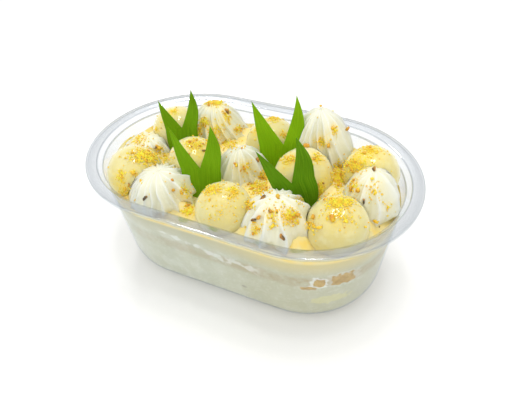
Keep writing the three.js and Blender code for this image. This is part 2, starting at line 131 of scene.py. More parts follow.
# Sprinkled patches: column and row of the middle, half width and half height in pixels,
# then how many golden, toasted and dark crumbs lie there.
PATCHES = [
    (146, 156, 17, 8, 260, 6, 1), (121, 176, 4, 8, 30, 1, 0), (134, 173, 4, 3, 12, 1, 0),
    (125, 190, 6, 8, 20, 0, 0), (138, 139, 12, 6, 45, 2, 0), (159, 148, 4, 3, 14, 2, 0),
    (166, 158, 6, 5, 30, 0, 0), (215, 102, 13, 4, 150, 3, 0), (227, 116, 4, 9, 30, 2, 0),
    (204, 122, 5, 6, 60, 1, 0), (199, 131, 3, 5, 20, 3, 0), (215, 132, 9, 10, 60, 1, 0),
    (230, 145, 12, 5, 90, 3, 0), (238, 129, 5, 4, 30, 3, 0), (173, 111, 6, 5, 16, 0, 0),
    (156, 130, 4, 4, 12, 0, 0), (195, 144, 15, 6, 80, 3, 1), (274, 118, 9, 4, 60, 2, 0),
    (284, 134, 5, 4, 14, 0, 0), (257, 130, 5, 9, 20, 0, 0), (247, 168, 9, 8, 22, 2, 0),
    (265, 176, 7, 6, 70, 6, 1), (259, 188, 11, 7, 110, 12, 0), (211, 189, 12, 6, 100, 2, 0),
    (234, 192, 8, 8, 45, 0, 1), (189, 210, 7, 6, 70, 4, 0), (220, 212, 25, 12, 26, 0, 0),
    (186, 192, 9, 8, 34, 2, 0), (291, 217, 9, 9, 100, 3, 0), (272, 215, 8, 14, 30, 2, 1),
    (256, 229, 7, 7, 22, 1, 0), (289, 160, 12, 5, 45, 1, 0), (338, 177, 6, 13, 190, 6, 0),
    (320, 188, 5, 8, 40, 1, 0), (318, 158, 9, 6, 30, 1, 0), (334, 130, 4, 7, 14, 2, 0),
    (322, 142, 10, 6, 26, 0, 0), (369, 149, 15, 8, 80, 1, 0), (354, 165, 14, 7, 120, 5, 0),
    (353, 186, 9, 9, 30, 2, 0), (375, 190, 9, 12, 14, 0, 0), (388, 207, 7, 8, 8, 0, 0),
    (339, 202, 17, 6, 180, 3, 0), (335, 216, 16, 8, 34, 1, 0), (352, 222, 16, 10, 16, 0, 0),
    (310, 225, 6, 9, 18, 1, 0), (301, 200, 8, 6, 12, 0, 0), (250, 205, 5, 6, 30, 4, 0),
]
# Places soaked golden by the syrup: column, row, reach in pixels, strength.
SOAKED = [
    (114, 184, 13, 0.4), (128, 197, 8, 0.35), (199, 156, 14, 0.5), (326, 178, 9, 0.35),
    (328, 195, 8, 0.5), (284, 168, 8, 0.25), (366, 163, 16, 0.5), (272, 135, 12, 0.25),
    (168, 120, 12, 0.2), (152, 128, 6, 0.3), (337, 178, 9, 0.45), (233, 168, 12, 0.25),
]
# Single crumbs that stand out: column, row, radius in millimetres, kind.
SPECKS = [
    (306, 147, 2.0, "toasted"), (327.5, 145.5, 1.5, "toasted"), (352, 134, 1.6, "dark"),
    (347, 128.5, 1.3, "toasted"), (245, 168.5, 1.3, "toasted"), (257, 160, 1.2, "dark"),
    (226.5, 111, 1.5, "dark"), (278.5, 197, 1.3, "toasted"), (263.5, 198, 1.3, "dark"),
    (259, 217.5, 1.3, "toasted"), (253.5, 219.5, 1.0, "dark"), (283, 237, 1.2, "dark"),
    (270.5, 211, 0.9, "dark"), (298, 214, 1.3, "toasted"), (332.5, 218, 1.8, "toasted"),
    (313.5, 217, 1.2, "toasted"), (314, 226, 0.9, "toasted"), (319.5, 227.5, 1.3, "golden"),
    (346, 221, 1.0, "golden"), (365, 227, 0.8, "golden"), (351, 189, 1.2, "toasted"),
    (358, 190, 1.1, "toasted"), (374.5, 169.5, 1.1, "dark"), (363.5, 201.5, 0.9, "dark"),
    (376, 221, 1.1, "toasted"), (372, 178.5, 1.0, "golden"), (376, 192.5, 0.9, "golden"),
    (172, 180.5, 0.9, "toasted"), (173, 190, 1.1, "toasted"), (141, 181, 1.0, "golden"),
    (144.5, 198, 1.1, "dark"), (129, 185, 0.7, "dark"), (159.5, 148, 1.4, "toasted"),
    (204, 151, 0.9, "dark"), (364.5, 153.5, 1.1, "toasted"), (237, 165, 1.0, "golden"),
    (187, 206, 1.1, "toasted"), (133, 173, 1.0, "toasted"), (272, 226, 1.1, "golden"),
    (156, 147, 0.8, "dark"), (323, 183, 0.7, "dark"), (240, 131, 1.3, "toasted"),
]

# Bits of cake and fruit that show against the wall: middle, half sizes, in millimetres,
# and how much white froth lies round a bit of cake.
CAKE_CHUNKS = [
    ((59.0, -31.0, 35.6), (4.3, 20.0, 4.0), 0.25),
    ((50.2, -36.6, 34.8), (2.5, 20.0, 2.8), 0.7),
    ((45.6, -38.2, 30.8), (3.4, 20.0, 1.3), 0.2),
]
FROTH_REACH = 1.45  # how far the froth reaches, for a bit of cake that reaches 1
FRUIT_PATCH = ((54.0, -31.0, 20.4), (8.6, 20.0, 3.2))
DARK_SPECK = ((14.5, -39.5, 18.6), (1.3, 8.0, 0.8))
# A white smear that slopes down along the front of the wall: where it starts and ends.
SMEAR = ((-25.0, 42.9), (20.0, 35.6))
SMEAR_REACH = (0.7, 2.6)  # half its height at its start and at its end


# ---- settings ----------------------------------------------------------------------------
def length(name, description, millimetres):
    return FloatProperty(name=name, description=description, default=millimetres * MM, unit="LENGTH")


def share(name, description, value):
    return FloatProperty(name=name, description=description, default=value, subtype="FACTOR")


def angle(name, description, degrees):
    return FloatProperty(name=name, description=description, default=math.radians(degrees), unit="ROTATION")


def number(name, description, value):
    return IntProperty(name=name, description=description, default=value, min=1)


def colour(name, description, *channels):
    return FloatVectorProperty(
        name=name, description=description, default=(*channels, 1.0), size=4,
        subtype="COLOR", min=0, max=1,
    )


class TubSettings(bpy.types.PropertyGroup):
    wall: length("Wall", "Thickness of the clear wall", 0.7)
    taper: length("Taper", "How much further in the wall stands at the foot", 6.4)
    foot_radius: length("Foot Radius", "Rounding between the side and the foot", 14)
    flange: length("Flange", "Flat width of the flange", 5.3)
    flange_rise: length("Flange Rise", "Climb of the flange to its outer edge", 0.7)
    seat_width: length("Seat Width", "Width of the sloping seat inside the flange", 1.8)
    seat_depth: length("Seat Depth", "Depth of that seat", 2.5)
    lip: length("Lip", "How far the edge is turned down", 1.5)
    rounding: length("Rounding", "Rounding of the rim's edges", 0.4)
    arc_steps: number("Arc Steps", "Facets round each half-circle end", 72)
    side_steps: number("Side Steps", "Facets along half of a straight side", 14)
    foot_steps: number("Foot Steps", "Facets of the rounded foot", 16)
    gloss: share("Gloss", "Share of light that the plastic mirrors, seen straight on", 0.07)
    edge_gloss: share("Edge Gloss", "That share where it is seen edge on", 0.6)
    crease_gloss: share("Crease Gloss", "That share along the rim's sharpest crease", 0.45)
    sheen: colour("Sheen", "Colour of what it mirrors", 0.93, 0.96, 1.0)
    tint: colour("Tint", "Colour of the clear plastic, seen straight on", 0.98, 0.983, 0.985)
    rim_tint: colour("Rim Tint", "Colour of the thicker rim", 0.75, 0.77, 0.785)
    haze: share("Haze", "Share of light that the rim's haze throws back", 0.24)
    edge_tint: colour("Edge Tint", "Its colour where it is seen along its wall", 0.86, 0.88, 0.9)
    # Painted shade: the film is darker along the rim's creases, for the light that their rounding bends away.
    crease_shade_tint: colour("Crease Tint", "Its colour along the rim's creases", 0.42, 0.46, 0.5)


class FillingSettings(bpy.types.PropertyGroup):
    cake_bottom: length("Cake Bottom", "Level of the cake layer's underside", 30.5)
    cake_top: length("Cake Top", "Level of the cake layer's top", 40.6)
    mousse_top: length("Mousse Top", "Level of the filling under the toppings", 49.4)
    relief: length("Relief", "How much these levels wander up and down", 0.9)
    bite: length("Bite", "How far the filling reaches into the wall", 0.1)
    meniscus: length("Meniscus", "Climb of the syrup and cream at the wall", 3.6)
    heap: length("Heap", "How much higher the filling stands between the toppings", 8)
    slope: length("Slope", "How far from the wall it has risen by most of that", 6)
    dent: length("Dent", "How far the filling sinks round a leaf's foot or in a hollow", 7)
    rings: number("Rings", "Rings of the top surface", 34)
    mousse: colour("Mousse", "Pale mousse", 0.64, 0.65, 0.5)
    mousse_shade: colour("Mousse Shade", "Damper mousse", 0.56, 0.575, 0.42)
    # Painted shadow of the rim on the mousse just under it; the same colour also stands for mousse soaked
    # where syrup seeps in.
    rim_shadow_and_soak: colour("Rim Shade", "Soaked mousse just under the rim", 0.5, 0.475, 0.28)
    smear: colour("Smear", "Whiter cream pressed against the wall", 0.9, 0.92, 0.87)
    cake: colour("Cake", "Soaked cake", 0.48, 0.4, 0.21)
    crust: colour("Crust", "Browned bits of cake", 0.42, 0.25, 0.035)
    dry_crust: colour("Dry Crust", "Their drier crumb", 0.62, 0.42, 0.12)
    syrup: colour("Syrup", "Golden syrup on the top", 0.92, 0.72, 0.2)
    custard: colour("Custard", "Pale cream under the toppings", 0.83, 0.75, 0.42)
    fruit: colour("Fruit", "A bit of fruit in the mousse", 0.74, 0.7, 0.3)
    speck: colour("Speck", "A dark speck in the mousse", 0.4, 0.38, 0.27)


class LycheeSettings(bpy.types.PropertyGroup):
    unevenness: length("Unevenness", "How far a fruit departs from round", 0.5)
    dimple: length("Dimple", "Radius of the stem's dimple", 2.1)
    dimple_depth: length("Dimple Depth", "Depth of that dimple", 0.45)
    flesh: colour("Flesh", "Pale yellow flesh", 0.71, 0.66, 0.35)
    deep: colour("Deep Flesh", "Yellower flesh", 0.69, 0.6, 0.25)
    milky: colour("Milky Flesh", "Milky veins in the flesh", 0.76, 0.75, 0.5)
    # Painted light: paler flesh where a fruit is seen edge on, for the light that shines through it.
    edge: colour("Edge Flesh", "Flesh that light shines through, seen edge on", 0.92, 0.88, 0.6)


class CreamSettings(bpy.types.PropertyGroup):
    foot: length("Foot", "Height of the rosettes' feet, in the mousse", 47.5)
    around: number("Around", "Steps along each flute's width", 12)
    rings: number("Rings", "Rings from the foot to the top", 72)
    twist: angle("Twist", "Turn of the flutes from the foot to the top", -16)
    cream: colour("Cream", "Whipped cream", 0.8, 0.82, 0.75)
    # Painted shade: the darker, yellower cream laid into the grooves.
    shade: colour("Cream Shade", "Cream in the grooves", 0.76, 0.74, 0.52)


class LeafSettings(bpy.types.PropertyGroup):
    thickness: length("Thickness", "Thickness of a leaf", 0.4)
    facing: angle("Facing", "Turn of the leaves about the vertical", 27)
    lean: angle("Lean", "How far the leaves lean back", 10)
    foot: length("Foot", "Lower end of a leaf, below the level", -2.2)
    foot_width: length("Foot Width", "Half width of that end", 3.2)
    shoulder: length("Shoulder", "Height at which a leaf is full width", 13)
    stand_off: length("Stand Off", "From the fruit to the middle of the leaf", 0.9)
    across: number("Across", "Facets across half of a leaf", 12)
    along: number("Along", "Facets along a leaf", 72)
    dark: colour("Dark Green", "The darkest leaf", 0.085, 0.215, 0.002)
    bright: colour("Bright Green", "The brightest leaf", 0.23, 0.46, 0.003)
    pale_vein: colour("Pale Vein", "The paler veins", 0.33, 0.58, 0.03)
    dark_vein: colour("Dark Vein", "The darker veins", 0.02, 0.11, 0.004)


class CrumbSettings(bpy.types.PropertyGroup):
    sunk: share("Sunk", "Share of a crumb that is sunk in", 0.3)
    strewn: number("Strewn", "Crumbs strewn over the whole top", 900)
    dust: colour("Dust", "Fine golden dust", 0.93, 0.71, 0.05)
    golden: colour("Golden", "Golden crumbs", 0.95, 0.78, 0.05)
    amber: colour("Amber", "Darker golden crumbs", 0.87, 0.56, 0.025)
    toasted: colour("Toasted", "Toasted crumbs", 0.62, 0.29, 0.02)
    dark: colour("Dark", "Burnt crumbs", 0.08, 0.06, 0.03)


class StudioSettings(bpy.types.PropertyGroup):
    distance: length("Distance", "From the camera to the point it looks at", 249)
    target: length("Target Height", "Height of that point over the foot", 31.4)
    azimuth: angle("Azimuth", "Turn of the camera to the right of the front", 27.4)
    elevation: angle("Elevation", "Height of the camera over the horizon", 43.0)
    roll: angle("Roll", "Roll of the camera", -3.97)
    floor: colour("Floor", "Pale floor", 0.92, 0.92, 0.92)
    floor_cloud: colour("Floor Cloud", "The floor's paler clouds", 0.94, 0.94, 0.94)


class MousseCupSettings(bpy.types.PropertyGroup):
    tub: PointerProperty(type=TubSettings)
    filling: PointerProperty(type=FillingSettings)
    lychee: PointerProperty(type=LycheeSettings)
    cream: PointerProperty(type=CreamSettings)
    leaf: PointerProperty(type=LeafSettings)
    crumb: PointerProperty(type=CrumbSettings)
    studio: PointerProperty(type=StudioSettings)


# ---- mesh helpers ------------------------------------------------------------------------
def piece_from(bm, name, material, slot, *nodes, crisp=None):
    """Makes a piece of a bmesh, which rides on the cup and may stand for nodes of the frame.
    Edges sharper than the crisp angle stay sharp."""
    for face in bm.faces:
        face.smooth = True
    mesh = bpy.data.meshes.new(name)
    bm.to_mesh(mesh)
    bm.free()
    if crisp:
        mesh.set_sharp_from_angle(angle=crisp)
    mesh.materials.append(material)
    piece = bpy.data.objects.new(name, mesh)
    bpy.context.scene.collection.objects.link(piece)
    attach(piece, BODY)
    if nodes:
        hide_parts(*nodes)
    return piece


def edges_of(geometry):
    return [item for item in geometry if isinstance(item, bmesh.types.BMEdge)]


def between(low, high, part):
    return low + (high - low) * part


def rounded(path, steps=3):
    """Rounds a path's corners. A corner is (radius, height, rounding, crease), and the result is the
    (radius, height) points and how creased the wall is at each."""
    points = [(Vector(corner[:2]), 0.0) for corner in path[:1]]
    for before, corner, after in zip(path, path[1:], path[2:]):
        middle = Vector(corner[:2])
        if not corner[2]:
            points.append((middle, 0.0))
            continue
        sides = [Vector(other[:2]) - middle for other in (before, after)]
        reach = min(corner[2], *(side.length / 3.2 for side in sides))
        ends = [middle + side.normalized() * reach for side in sides]
        outer = [middle + side.normalized() * reach * 1.5 for side in sides]
        points.append((outer[0], 0.0))
        for step in range(steps + 1):
            part = step / steps
            points.append((ends[0].lerp(middle, part).lerp(middle.lerp(ends[1], part), part), corner[3]))
        points.append((outer[1], 0.0))
    return points + [(Vector(path[-1][:2]), 0.0)]


def nearest_on_axis(spot):
    """Where the line between the round ends' centres is nearest, at a spot's height."""
    return Vector((max(-END_CENTRE, min(END_CENTRE, spot.x)), 0, spot.z))


def swept_round_plan(section, tub, creases=None):
    """Sweeps a section of (radius, height) round the tub's plan: half of it, then its mirror image."""
    bm = bmesh.new()
    crease_layer = bm.verts.layers.float.new("crease")
    corners = [bm.verts.new((END_CENTRE, -radius, height)) for radius, height in section]
    for corner, crease in zip(corners, creases or []):
        corner[crease_layer] = crease
    first = [bm.edges.new(pair) for pair in pairwise(corners)]
    spun = bmesh.ops.spin(
        bm, geom=corners + first, cent=(END_CENTRE, 0, 0), axis=(0, 0, 1), angle=math.pi, steps=tub.arc_steps
    )
    for edges in (first, edges_of(spun["geom_last"])):
        for _ in range(tub.side_steps):
            made = bmesh.ops.extrude_edge_only(bm, edges=edges)["geom"]
            moved = {item for item in made if isinstance(item, bmesh.types.BMVert)}
            bmesh.ops.translate(bm, verts=list(moved), vec=(-END_CENTRE / tub.side_steps, 0, 0))
            edges = [edge for edge in edges_of(made) if moved.issuperset(edge.verts)]
    bmesh.ops.remove_doubles(bm, verts=bm.verts, dist=MM / 1000)
    bmesh.ops.mirror(bm, geom=bm.verts[:] + bm.edges[:] + bm.faces[:], axis="X", merge_dist=MM / 1000)
    bmesh.ops.remove_doubles(bm, verts=bm.verts, dist=MM / 1000)
    bmesh.ops.recalc_face_normals(bm, faces=bm.faces)
    return bm


# ---- the tub -----------------------------------------------------------------------------
def wall_line(tub):
    """Where the wall's outside starts at the top, and how far it leans from the vertical."""
    top = RIM_HEIGHT - tub.flange_rise - tub.seat_depth
    radius = RIM_RADIUS - tub.flange - tub.seat_width
    return SimpleNamespace(top=top, radius=radius, lean=math.atan2(tub.taper, top))


def wall_radius(tub, height, inset=0.0):
    line = wall_line(tub)
    return line.radius - (line.top - height) * math.tan(line.lean) - inset / math.cos(line.lean)


def side_section(tub, inset, top):
    """The tub's side from the middle of its foot up to a height, set in by an inset."""
    line = wall_line(tub)
    tangent = tub.foot_radius * (1 - math.sin(line.lean))
    centre = wall_radius(tub, tangent) - tub.foot_radius * math.cos(line.lean)
    radius = tub.foot_radius - inset
    section = [(0, inset)]
    for step in range(tub.foot_steps + 1):
        turn = between(-math.pi / 2, -line.lean, step / tub.foot_steps)
        section.append((centre + radius * math.cos(turn), tub.foot_radius + radius * math.sin(turn)))
    section.append((wall_radius(tub, top, inset), top))
    return section


def tub_section(tub):
    wall = tub.wall
    seat = Vector((RIM_RADIUS - tub.flange, RIM_HEIGHT - tub.flange_rise))
    line = wall_line(tub)
    outside = [(*point, 0, 0) for point in side_section(tub, 0, line.top - wall / 2)]
    inside = [(*point, 0, 0) for point in side_section(tub, wall, line.top)[::-1]]
    outside[-1] = (*outside[-1][:2], tub.rounding, 0)
    inside[0] = (*inside[0][:2], tub.rounding, 0.8)
    rim = [
        (seat.x - wall / 3, seat.y - wall, tub.rounding, 0),
        (RIM_RADIUS - wall, RIM_HEIGHT - wall, tub.rounding, 0),
        (RIM_RADIUS - wall, RIM_HEIGHT - tub.lip, tub.rounding / 4, 0),
        (RIM_RADIUS, RIM_HEIGHT - tub.lip, tub.rounding / 4, 0.3),
        (RIM_RADIUS, RIM_HEIGHT, tub.rounding, 0.5),
        (RIM_RADIUS - 0.45 * tub.flange, RIM_HEIGHT - 0.1 * tub.flange_rise, 0.4 * tub.flange, 0),
        (seat.x, seat.y, tub.rounding, 1),
        (seat.x - tub.seat_width / 3, seat.y - wall, tub.rounding, 0),
    ]
    points = rounded(outside + rim + inside)
    return [tuple(point) for point, _ in points], [crease for _, crease in points]


# ---- the filling -------------------------------------------------------------------------
def wander(x, y, phase):
    """The slow ups and downs of the filling's levels, as a share of the relief."""
    x, y = x / MM, y / MM
    slow = math.sin(0.11 * x + phase) * math.cos(0.12 * y + 1.7 * phase)
    quick = math.sin(0.27 * x + 0.21 * y + 2.3 * phase)
    return 0.6 * slow + 0.4 * quick


def cake_underside(filling, x, y):
    return filling.cake_bottom + filling.relief * wander(x, y, 0.4)


def cake_surface(filling, x, y):
    return filling.cake_top + 0.6 * filling.relief * wander(x, y, 2.1)


def mousse_surface(filling, x, y):
    spot = Vector((x, y, 0)) / MM
    stirred = 0.3 * noise.noise(spot / 5) + 0.12 * noise.noise(spot / 1.8)
    return filling.mousse_top + filling.relief * (0.7 * wander(x, y, 4.0) + stirred)


def layer_section(tub, filling, low, high, rings):
    """A layer's section: from the middle of its underside out to the wall, up it and back in."""
    inset = tub.wall - filling.bite
    bottom, top = (wall_radius(tub, level, inset) for level in (low, high))
    under = [(bottom * ring / 4, low) for ring in range(5)]
    upper = [(top * math.sqrt(ring / rings), high) for ring in range(rings, -1, -1)]
    return under + upper


def level_off(bm, level, surface):
    """Moves the points at a level onto a surface, a function of x and y."""
    for vert in bm.verts:
        if abs(vert.co.z - level) < MM / 100:
            vert.co.z = surface(vert.co.x, vert.co.y)


def heaped(spot, low_spots, filling):
    """Share of the heap that stands at a spot: it sinks round the leaves' feet and in the hollows."""
    dents = [math.exp(-(((spot - low).xy.length / filling.dent) ** 2)) for low in low_spots]
    return 1 - max(dents)


def edge_distance(tub, filling, spot):
    """From the wall's inside to a spot of the mousse's top."""
    off_axis = math.hypot(max(0.0, abs(spot.x) - END_CENTRE), spot.y)
    return wall_radius(tub, filling.mousse_top, tub.wall) - off_axis


# ---- lychees -----------------------------------------------------------------------------
LYCHEES = sum(name.startswith("lychee_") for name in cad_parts)


def ball_of(order):
    """Centre and radius of a fruit, from the lower half of its solid, which carries no crumbs."""
    node = f"lychee_{order}"
    low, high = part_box(node)
    spots = [vert.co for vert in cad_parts[node].data.vertices if vert.co.z < (low.z + high.z) / 2]
    radius = (max(spot.x for spot in spots) - min(spot.x for spot in spots)) / 2
    middle = [(max(spot[axis] for spot in spots) + min(spot[axis] for spot in spots)) / 2 for axis in (0, 1)]
    return Vector((*middle, low.z + radius)), radius


def lychee_shape(order, settings):
    centre, radius = ball_of(order)
    bm = bmesh.new()
    bmesh.ops.create_icosphere(bm, subdivisions=5, radius=1)
    turn = random.Random(40 + order)
    stem = Vector((turn.uniform(-0.5, 0.5), turn.uniform(-0.5, 0.5), 1)).normalized()
    dimple = settings.dimple / radius
    for vert in bm.verts:
        way = vert.co.normalized()
        swell = noise.noise(1.1 * way + Vector((7.0 * order, 0, 0)))
        swell += 0.25 * noise.noise(3.1 * way + Vector((0, 5.0 * order, 0)))
        from_stem = (way - stem).length / dimple
        brim = 0.35 * math.exp(-((from_stem - 1.3) * 3) ** 2)
        crater = settings.dimple_depth * (math.exp(-from_stem ** 2) - brim)
        vert.co = centre + way * (radius - 0.1 * MM + settings.unevenness * swell - crater)
    return bm


# ---- piped cream -------------------------------------------------------------------------
LIP_RISE, LIP_REACH = 0.26, 0.14  # where a rosette bulges over its foot, as shares of its height
PLEAT = 0.22  # width of the small pleats in a flute, in radians


def on_circle(turned, height, radius=1.0):
    return Vector((radius * math.cos(turned), radius * math.sin(turned), height))


def along_profile(part):
    """The rosette profile at a share of its length, smooth between its rows."""
    place = part * (len(ROSETTE_PROFILE) - 1)
    row = min(int(place), len(ROSETTE_PROFILE) - 2)
    step = place - row
    rows = [ROSETTE_PROFILE[max(0, min(len(ROSETTE_PROFILE) - 1, row + k))] for k in (-1, 0, 1, 2)]
    result = []
    for before, start, end, after in zip(*rows):
        curve = start + 0.5 * step * (end - before)
        curve += step ** 2 * (before - 2.5 * start + 2 * end - 0.5 * after)
        curve += step ** 3 * (1.5 * (start - end) + 0.5 * (after - before))
        result.append(curve)
    return result


def piped_flutes(rosette, chance):
    """The flutes round a rosette: where each starts, how wide and deep it is, and its crest's reach."""
    count = rosette["flutes"]
    side, boost = rosette["wide"]
    widths = []
    for flute in range(count):
        apart = math.radians(flute * 360 / count - side)
        widths.append(chance.uniform(0.75, 1.25) * (1 + boost * math.exp(3.5 * (math.cos(apart) - 1))))
    scale = 2 * math.pi / sum(widths)
    flutes = []
    turned = 0.0
    for width in widths:
        slim = min(1.15, (width * scale * count / (2 * math.pi)) ** 0.7)
        flutes.append(SimpleNamespace(
            start=turned, width=width * scale, depth=rosette["depth"] * slim * chance.uniform(0.55, 1.3),
            crest=chance.uniform(0.95, 1.02),
        ))
        turned += width * scale
    return flutes


def in_flute(flutes, turned):
    """The flute at an angle on the evenly divided rosette, and how far across it the angle lies."""
    place = turned / (2 * math.pi) % 1 * len(flutes)
    here = min(int(place + 1e-4), len(flutes) - 1)
    return flutes[here], flutes[(here + 1) % len(flutes)], max(0.0, place - here)


def rosette_shape(order, settings):
    rosette = ROSETTES[order - 1]
    chance = random.Random(100 + order)
    flutes = piped_flutes(rosette, chance)
    radius = rosette["radius"] * MM
    tall = rosette["top"] * MM - settings.foot
    middle = Vector((rosette["at"][0] * MM, rosette["at"][1] * MM, settings.foot))
    lean = Vector((rosette["lean"][0] * MM, rosette["lean"][1] * MM, 0))
    sway = chance.uniform(0, 6)

    bm = bmesh.new()
    rise_layer = bm.verts.layers.float.new("rise")
    strength_layer = bm.verts.layers.float.new("strength")
    groove_layer = bm.verts.layers.float.new("groove")
    corners = [bm.verts.new((0, 0, 0))]
    for ring in range(settings.rings + 1):
        width, rise, strength = along_profile(ring / settings.rings)
        corner = bm.verts.new((max(0.0, width), 0, rise))
        corner[rise_layer], corner[strength_layer] = rise, strength
        corners.append(corner)
    edges = [bm.edges.new(pair) for pair in pairwise(corners)]
    bmesh.ops.spin(
        bm, geom=corners + edges, cent=(0, 0, 0), axis=(0, 0, 1), angle=2 * math.pi,
        steps=len(flutes) * settings.around, use_merge=True,
    )
    bmesh.ops.remove_doubles(bm, verts=bm.verts, dist=1e-5)
    for vert in bm.verts:
        rise, strength = vert[rise_layer], vert[strength_layer]
        width = vert.co.xy.length
        flute, following, part = in_flute(flutes, math.atan2(vert.co.y, vert.co.x) if width > 1e-6 else 0.0)
        groove = math.sin(math.pi * part) ** 0.7
        pleats = max(2, round(flute.width / PLEAT))
        pleat = 0.13 * groove * (1 - abs(math.sin(pleats * math.pi * part)))
        crest = between(flute.crest, following.crest, (1 - math.cos(math.pi * part)) / 2)
        # How deep in its flute a point lies also sets the cream's painted shade in the grooves.
        vert[groove_layer] = groove - pleat
        turned = flute.start + flute.width * part
        reach = width * (crest - strength * flute.depth * (groove - pleat))
        around = on_circle(turned, 3 * order)
        lip = math.exp(-(((rise - LIP_RISE) / LIP_REACH) ** 2))
        reach *= 1 + 0.03 * math.sin(turned + 3.5 * rise + sway) + 0.12 * lip * noise.noise(1.7 * around)
        swung = turned + settings.twist * rise
        swung += 0.06 * math.sin(5 * rise + sway) + 0.03 * math.sin(9 * rise + 3 * turned)
        spot = Vector((reach * math.cos(swung) * radius, reach * math.sin(swung) * radius, rise * tall))
        scallop = 1.1 * (groove - 0.6) + 1.8 * noise.noise(on_circle(turned, order, 2))
        spot.z += MM * lip * scallop
        spot.z += 0.5 * MM * noise.noise(on_circle(turned, 4 * rise + order, 3))
        spot += 0.3 * MM * noise.noise_vector(spot / (4 * MM) + Vector((order, 0, 0))) * min(1, 4 * rise)
        vert.co = middle + lean * rise + spot
    bmesh.ops.recalc_face_normals(bm, faces=bm.faces)
    return bm


def press_in(bm, tub, balls):
    """Presses cream out of the fruits, and back inside the tub's wall."""
    skin = 0.05 * MM
    line = wall_line(tub)
    for vert in bm.verts:
        for centre, radius in balls:
            way = vert.co - centre
            if way.length < radius + skin:
                vert.co = centre + way.normalized() * (radius + skin)
        if vert.co.z < line.top + tub.seat_depth:
            limit = wall_radius(tub, min(vert.co.z, line.top), tub.wall + skin)
            axis = nearest_on_axis(vert.co)
            way = vert.co - axis
            if way.length > limit:
                vert.co = axis + way.normalized() * limit


# ---- leaves ------------------------------------------------------------------------------
NOTCH_ROW = 0.42  # share of the rows of a leaf that lie below its notch
BELLIES = {-1: 0.2, 1: 2.0}  # how far the left and right prongs bow out, in millimetres
WAVE, WAVE_LENGTH, FULL_WAVE = 0.7, 19, LEVEL  # a leaf's waves, full at this height, in millimetres
HOLLOW_BEND = 0.012  # how fast a leaf bends away to both sides
FOOT_FRONT = 2  # how far in front of a leaf's foot the filling is lowest, in millimetres


def leaf_point(leaf, settings, side, across, along):
    """A point of the flat leaf, in millimetres; across runs from the outer edge to the middle."""
    notch = Vector(leaf["notch"])
    full = leaf["half"][0 if side < 0 else 1]
    sizes = (settings.foot, settings.foot_width, settings.shoulder)
    foot, foot_width, shoulder = (size / MM for size in sizes)

    def edge(height):
        climbed = min(1, (height - foot) / (shoulder - foot))
        return Vector((side * between(foot_width, full, math.sin(climbed * math.pi / 2)), height))

    if along <= NOTCH_ROW:
        part = along / NOTCH_ROW
        height = between(foot, notch.y, part)
        outer, inner = edge(height), Vector((notch.x * part, height))
    else:
        part = (along - NOTCH_ROW) / (1 - NOTCH_ROW)
        tip = Vector(leaf["left"] if side < 0 else leaf["right"])
        belly = side * BELLIES[side] * math.sin(math.pi * part)
        outer = edge(notch.y).lerp(tip, part) + Vector((belly, 0))
        inner = notch.lerp(tip, part) + Vector((0.35 * belly, 0))
    return outer.lerp(inner, across)


def leaf_frame(leaf, settings):
    """Where a leaf is measured from, on the fruit's front, and its own three directions."""
    centre, radius = ball_of(leaf["on"])
    across = Vector((math.cos(settings.facing), math.sin(settings.facing), 0))
    back = Vector((-math.sin(settings.facing), math.cos(settings.facing), 0))
    up = Vector((0, 0, math.cos(settings.lean))) + back * math.sin(settings.lean)
    normal = across.cross(up)
    start = centre + normal * (radius + settings.stand_off)
    start += up * (LEVEL * MM - start.z) / up.z
    return start, across, up, normal


def leaf_foot(leaf, settings):
    """The spot of the filling just in front of a leaf's foot."""
    start, across, _, normal = leaf_frame(leaf, settings)
    return start + (across * leaf["along"] + normal * FOOT_FRONT) * MM


def leaf_shape(order, settings):
    leaf = LEAVES[order - 1]
    start, across, up, normal = leaf_frame(leaf, settings)
    roll = Matrix.Rotation(math.radians(leaf["roll"]), 2)
    bm = bmesh.new()
    blades = bm.loops.layers.uv.new("blade")
    for side in (-1, 1):
        grid = bmesh.ops.create_grid(bm, x_segments=settings.across, y_segments=settings.along, size=0.5)
        for face in {face for vert in grid["verts"] for face in vert.link_faces}:
            for loop in face.loops:
                in_blade = (loop.vert.co.x + 0.5) / 2
                loop[blades].uv = (in_blade if side < 0 else 1 - in_blade, loop.vert.co.y + 0.5)
        for vert in grid["verts"]:
            flat = leaf_point(leaf, settings, side, vert.co.x + 0.5, vert.co.y + 0.5)
            turned = roll @ flat
            phase = 2 * math.pi * (flat.y + 0.6 * flat.x) / WAVE_LENGTH + order - 1
            wave = WAVE * math.sin(phase) * flat.y / FULL_WAVE
            crease = -0.28 * math.exp(-((flat.x / 0.7) ** 2)) if flat.y < leaf["notch"][1] else 0
            ripple = 0.05 * math.sin(2.6 * flat.x + 0.1 * flat.y)
            out = wave + HOLLOW_BEND * flat.x ** 2 + crease + ripple
            vert.co = start + (across * (leaf["along"] + turned.x) + up * turned.y + normal * out) * MM
    bmesh.ops.remove_doubles(bm, verts=bm.verts, dist=0.02 * MM)
    bmesh.ops.recalc_face_normals(bm, faces=bm.faces)
    return bm


# ---- the camera's rays -------------------------------------------------------------------
def camera_axes(studio):
    """The camera's place, and its right, up and backward directions."""
    flat, high = math.cos(studio.elevation), math.sin(studio.elevation)
    back = Vector((math.sin(studio.azimuth) * flat, -math.cos(studio.azimuth) * flat, high))
    level = back.cross(Vector((0, 0, 1))).normalized() * -1
    upright = back.cross(level)
    right = level * math.cos(studio.roll) + upright * math.sin(studio.roll)
    up = upright * math.cos(studio.roll) - level * math.sin(studio.roll)
    place = Vector((0, 0, studio.target)) + back * studio.distance
    return place, right, up, back


def sight_line(studio, column, row):
    """The camera's place, and the direction in which it sees a pixel."""
    place, right, up, back = camera_axes(studio)
    way = right * (column - PICTURE.column) - up * (row - PICTURE.row) - back * PICTURE.focal
    return place, way.normalized()


